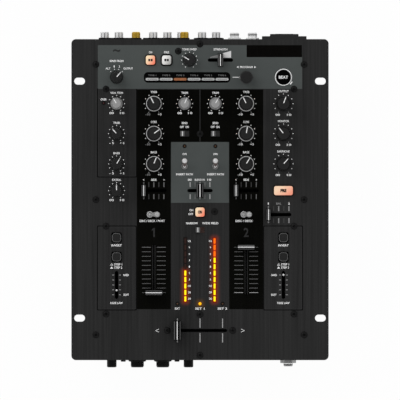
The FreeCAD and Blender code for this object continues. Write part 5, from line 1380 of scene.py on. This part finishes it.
def raysOf(tree):
    rays = place(tree, "ShaderNodeLightPath").outputs
    return [wire(tree, rays["Is %s Ray" % kind]) for kind in ("Camera", "Glossy", "Transmission")]


def floorFinish():
    material = bpy.data.materials.new("paleFloor")
    material.use_nodes = True
    tree = material.node_tree
    tree.nodes.clear()
    straight, glossy, through = raysOf(tree)
    seen = (straight + glossy + through).clamped()
    matte = flow(tree, "ShaderNodeBsdfDiffuse", {"Color": floorLook["matte"]})
    white = flow(tree, "ShaderNodeEmission", {"Color": grey(255), "Strength": 1.0})
    mixed = flow(tree, "ShaderNodeMixShader", {0: seen * floorLook["glow"], 1: matte, 2: white})
    place(tree, "ShaderNodeOutputMaterial", {"Surface": mixed})
    return material


floorMesh = bpy.data.meshes.new("floor")
half = floorLook["size"] / 2
floorMesh.from_pydata([(x, y, 0) for x, y in bar(-half, -half, half, half)], [], [(0, 1, 2, 3)])
floorMesh.materials.append(floorFinish())
floor = link("floor", floorMesh)

world = bpy.data.worlds.new("studio")
bpy.context.scene.world = world
world.use_nodes = True
sky = world.node_tree
sky.nodes.clear()
skyLook = {  # light on matte faces, what gloss sees above and all round, and between which heights that changes
    "soft": 0.5, "overhead": 0.12, "seen": 1.0, "low": 0.1, "high": 0.75,
}
straight, glossy, through = raysOf(sky)
upwards = axisOf(flow(sky, "ShaderNodeTexCoord", output="Generated"), "Z")
mirrored = flow(sky, "ShaderNodeMapRange", {
    "Value": upwards, "From Min": skyLook["low"], "From Max": skyLook["high"], "To Min": skyLook["seen"],
    "To Max": skyLook["overhead"]})
reflected = mix(sky, (glossy + through).clamped(), skyLook["soft"], mirrored)
skyLevel = mix(sky, straight, reflected, skyLook["seen"])
background = flow(sky, "ShaderNodeBackground", {"Color": grey(255), "Strength": skyLevel})
place(sky, "ShaderNodeOutputWorld", {"Surface": background})

lampSize = 1.2
lamps = {  # place in metres, watts
    "keyLamp": ((-0.9, 0.95, 1.15), 11.5),
    "rightLamp": ((1.0, 0.7, 1.1), 4.8),
    "frontLamp": ((-0.6, -1.1, 1.0), 4.1),
    "rearLamp": ((0.7, -1.0, 0.9), 3.4),
}
for name, (spot, watts) in lamps.items():
    light = bpy.data.lights.new(name, "AREA")
    light.size = lampSize
    light.energy = watts
    lamp = link(name, light)
    lamp.location = spot
    lamp.rotation_euler = (Vector((0, 0, panelTop)) - Vector(spot)).to_track_quat("-Z", "Y").to_euler()
bpy.context.scene.view_settings.view_transform = "Standard"
print("camera and lamps set")
